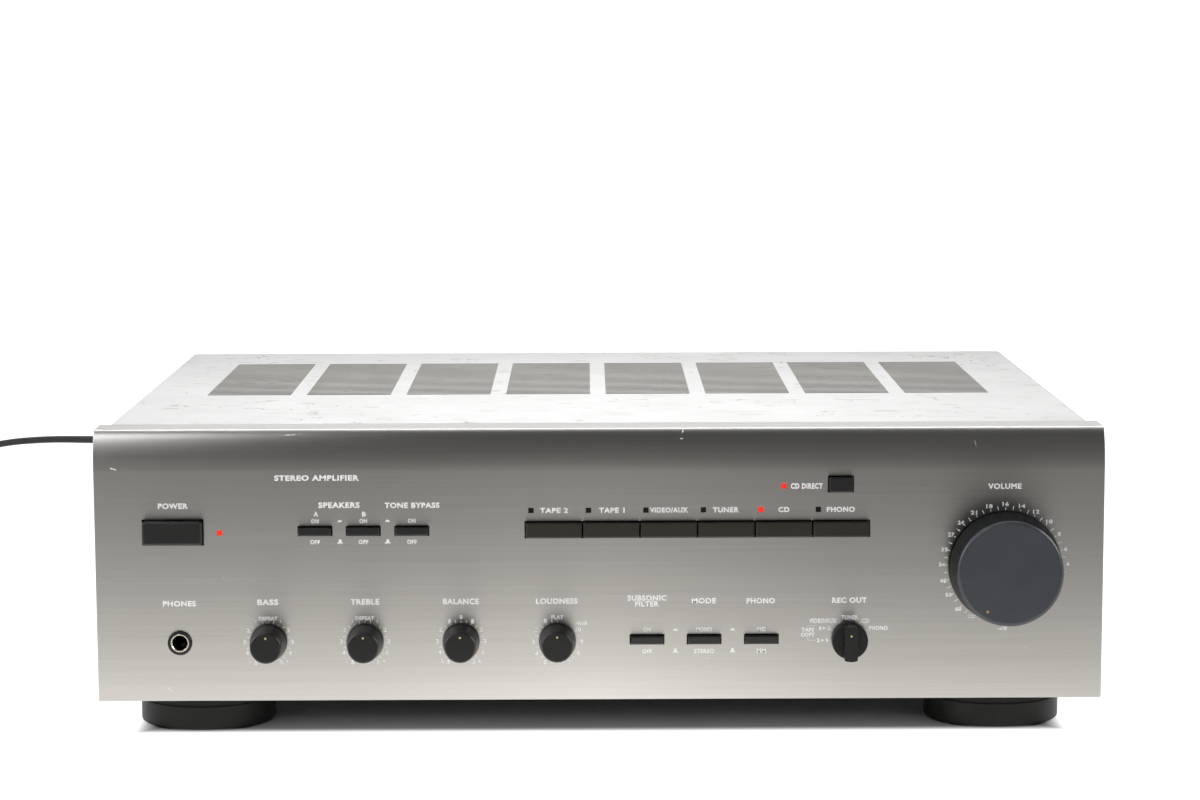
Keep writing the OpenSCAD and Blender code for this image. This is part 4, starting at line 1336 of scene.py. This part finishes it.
def print_selector_scale():
    bm = bmesh.new()
    labels(bm, 1.8, (("TUNER", 108.2, 49.7, 7.3), ("CD", 115, 48.2, 3.2), ("PHONO", 120.6, 45, 8.1),
                     ("VIDEO/AUX", 96.6, 48.3, 12)))
    labels(bm, 1.6, (("TAPE", 90.1, 44.4, 5.4), ("COPY", 90.1, 42.2, 6)))
    labels(bm, 1.5, (("1", 95.4, 45, 0.8), ("2", 99.2, 45, 1.3), ("2", 94.6, 39.7, 1.3),
                     ("1", 98.4, 39.7, 0.8)))
    arrow = [(-0.7, -0.7), (0.8, 0), (-0.7, 0.7)]
    patch(bm, arrow, 97.2, 45)
    patch(bm, arrow, 96.6, 39.7)
    for start, z, end in ((45.6, 46.1, 94.2), (41, 39.7, 93.3)):
        bar(bm, 90.1, start, 90.1, z, 0.18)
        bar(bm, 90.1, z, end, z, 0.18)
    for clock in (-90, -60, -30, 0, 30, 60):
        tick(bm, middle("rec_out_knob").x, LOWER_ROW, SMALL_TICKS_R, 9.1, clock, 0.35)
    ink_on_front("selector_scale", bm)


print_headings()
print_volume_scale()
print_small_scales()
print_selector_scale()
build_chips()

# ---- printing on the back ----


def print_back():
    """Generic names of the sockets and terminals"""
    bm = bmesh.new()

    def words(text, x, z, height):
        label(bm, text, x, z, height, face=FACING_BACK, surface=REAR_BACK)

    names = ["PHONO", "CD", "TUNER", "AUX", "TAPE 1 PB", "REC", "TAPE 2 PB", "REC"]
    for text, (x, _) in zip(names, SOCKETS):
        words(text, x, 109.5, 1.9)
        for side, z in zip("LR", SOCKET_ROWS):
            words(side, x + 8.5, z, 2)
    words("SPEAKERS", SPEAKER_X, 103, 3)
    for pair, z in zip("AB", POST_ROWS):
        words(pair, SPEAKER_X - 58, z, 3.2)
    words("GND", GROUND[0], 57, 2.2)
    words("AC IN", -186, 94, 2.6)
    piece("rear_printing", bm, INK)


print_back()

# ---- floor, lights ----

FLOOR_HALF = 9000
FLOOR_Z = -0.2
FLOOR_FADE = 0.010
FALLOFF_D = 0.9
FALLOFF_GLOW = 1.86
FALLOFF = [(0.0, 1.0), (0.11, 1.0), (0.16, 0.74), (0.27, 0.47),
           (0.43, 0.2), (0.62, 0.065), (0.75, 0.02), (1.0, 0.005)]
SIDE_FALLOFF = [(0.0, 0.8), (0.25, 0.84), (0.5, 0.98), (0.78, 0.72), (1.0, 0.67)]
WARM_WHITE = (1.0, 0.975, 0.93)
SHADE_Z = TOP_Z + 73


def flat_sheet(name, x0, x1, y0, y1, z, material, unseen_by=()):
    """Level sheet of the stage, hidden from the kinds of ray that are named"""
    mesh = bpy.data.meshes.new(name)
    corners = [to_frame(p) for p in ((x0, y0, z), (x1, y0, z), (x1, y1, z), (x0, y1, z))]
    mesh.from_pydata(corners, [], [(0, 1, 2, 3)])
    mesh.materials.append(material)
    obj = bpy.data.objects.new(name, mesh)
    scene.collection.objects.link(obj)
    for ray in unseen_by:
        setattr(obj, f"visible_{ray}", False)


def add_floor():
    """Pale floor, bright up to the amplifier's outline and left to its own shadow under it"""
    s = Shader("floor", roughness=0.9, base_color=(0.42, 0.42, 0.42), emission_color=(1.0, 1.0, 1.0))
    x, y, _ = s.split(s.add("ShaderNodeNewGeometry").outputs["Position"])
    half_w, half_d = case_box("foot_front_right")[1].x * MM, CASE_D * MM / 2
    aside = s.math("SUBTRACT", s.math("ABSOLUTE", x), half_w)
    from_middle = s.math("ABSOLUTE", s.math("SUBTRACT", y, FACE_Y + half_d))
    outside = s.math("MAXIMUM", aside, s.math("SUBTRACT", from_middle, half_d))
    share = s.math("MULTIPLY_ADD", outside, 1 / FLOOR_FADE, 1.0)
    clamped = s.math("MINIMUM", s.math("MAXIMUM", share, 0.0), 1.0)
    s.set(emission_strength=s.math("POWER", clamped, 2.0))
    flat_sheet("floor", -FLOOR_HALF, FLOOR_HALF, -FLOOR_HALF, FLOOR_HALF, FLOOR_Z, s.unlit())


def add_falloff_card():
    """Glowing sheet in front of the case, seen only in reflections, dimmer with distance"""
    s = Shader("falloff_card", roughness=1.0, base_color=(0.0, 0.0, 0.0), emission_color=WARM_WHITE)
    x, y, _ = s.split(s.add("ShaderNodeNewGeometry").outputs["Position"])
    ahead = s.math("MULTIPLY_ADD", y, -1 / FALLOFF_D, FACE_Y / FALLOFF_D)
    across = s.math("MULTIPLY_ADD", x, 1 / PANEL_W / MM, 0.5)
    glow = s.math("MULTIPLY", s.ramp(ahead, *FALLOFF), s.ramp(across, *SIDE_FALLOFF))
    s.set(emission_strength=s.math("MULTIPLY", glow, FALLOFF_GLOW))
    flat_sheet("falloff_card", -3000, 3000, -FLOOR_HALF, -8, 1, s.unlit(), ("camera", "diffuse", "shadow"))


def add_shade_card():
    """Card over the front edge that only casts shadow"""
    s = Shader("dark_card", roughness=1.0, base_color=(0.02, 0.02, 0.02))
    flat_sheet("shade_card", -500, 500, -400, 6, SHADE_Z, s.material, ("camera", "diffuse", "glossy"))


def add_light(name, place, aim, width, height, radiance, glossy=True, diffuse=True):
    """Rectangular softbox at a place in case coordinates, aimed at another"""
    data = bpy.data.lights.new(name, "AREA")
    data.shape = "RECTANGLE"
    data.size, data.size_y = width, height
    data.energy = radiance * math.pi * width * height
    obj = bpy.data.objects.new(name, data)
    scene.collection.objects.link(obj)
    a, b = to_frame(place), to_frame(aim)
    obj.matrix_world = Matrix.Translation(a) @ (b - a).to_track_quat("-Z", "Y").to_matrix().to_4x4()
    obj.visible_glossy = glossy
    obj.visible_diffuse = diffuse
    obj.visible_camera = False


def add_surroundings():
    """White for the camera; around the object bright behind and above, dark in front"""
    world = bpy.data.worlds.new("surroundings")
    scene.world = world
    world.use_nodes = True
    nodes = Nodes(world.node_tree)
    _, backwards, _ = nodes.split(nodes.add("ShaderNodeTexCoord").outputs["Generated"])
    spread = nodes.add("ShaderNodeMapRange")
    for title, value in (("From Min", -1), ("From Max", 1), ("Value", backwards)):
        nodes.feed(spread.inputs[title], value)
    light = nodes.ramp(spread.outputs[0], (0.0, 0.1), (0.1, 0.08), (0.4, 0.08), (0.55, 0.35), (0.7, 0.6),
                       (0.97, 0.65), (0.992, 1.0))
    seen = nodes.add("ShaderNodeLightPath").outputs["Is Camera Ray"]
    background = nodes.tree.nodes["Background"]
    nodes.feed(background.inputs["Color"], nodes.mix(seen, light, (1.2, 1.2, 1.2)))


add_floor()
add_falloff_card()
add_shade_card()
add_light("overhead", (0, 50, 520), (0, 50, 0), 0.4, 0.25, 6.9, glossy=False)
add_light("glint", (100, 560, 900), (50, 0, 90), 1.0, 0.3, 4.0, diffuse=False)
add_light("rim_left", (-950, -100, 500), (0, 0, 80), 0.6, 0.7, 5.0, diffuse=False)
add_light("rim_right", (1400, -100, 750), (0, 0, 80), 1.0, 0.9, 7.0, diffuse=False)
add_light("left_front", (-680, -900, 1100), (-217, 0, 120), 0.8, 1.0, 1.9, glossy=False)
add_light("left_glow", (-620, -900, 1100), (-217, 0, 120), 0.4, 1.0, 3.4, diffuse=False)
add_light("right_front", (1000, -700, 500), (100, 50, 80), 0.8, 0.6, 0.3)
add_light("front_fill", (0, -1500, 900), (0, 0, 70), 1.0, 0.6, 6.0, glossy=False)
add_surroundings()
scene.view_settings.view_transform = "Standard"
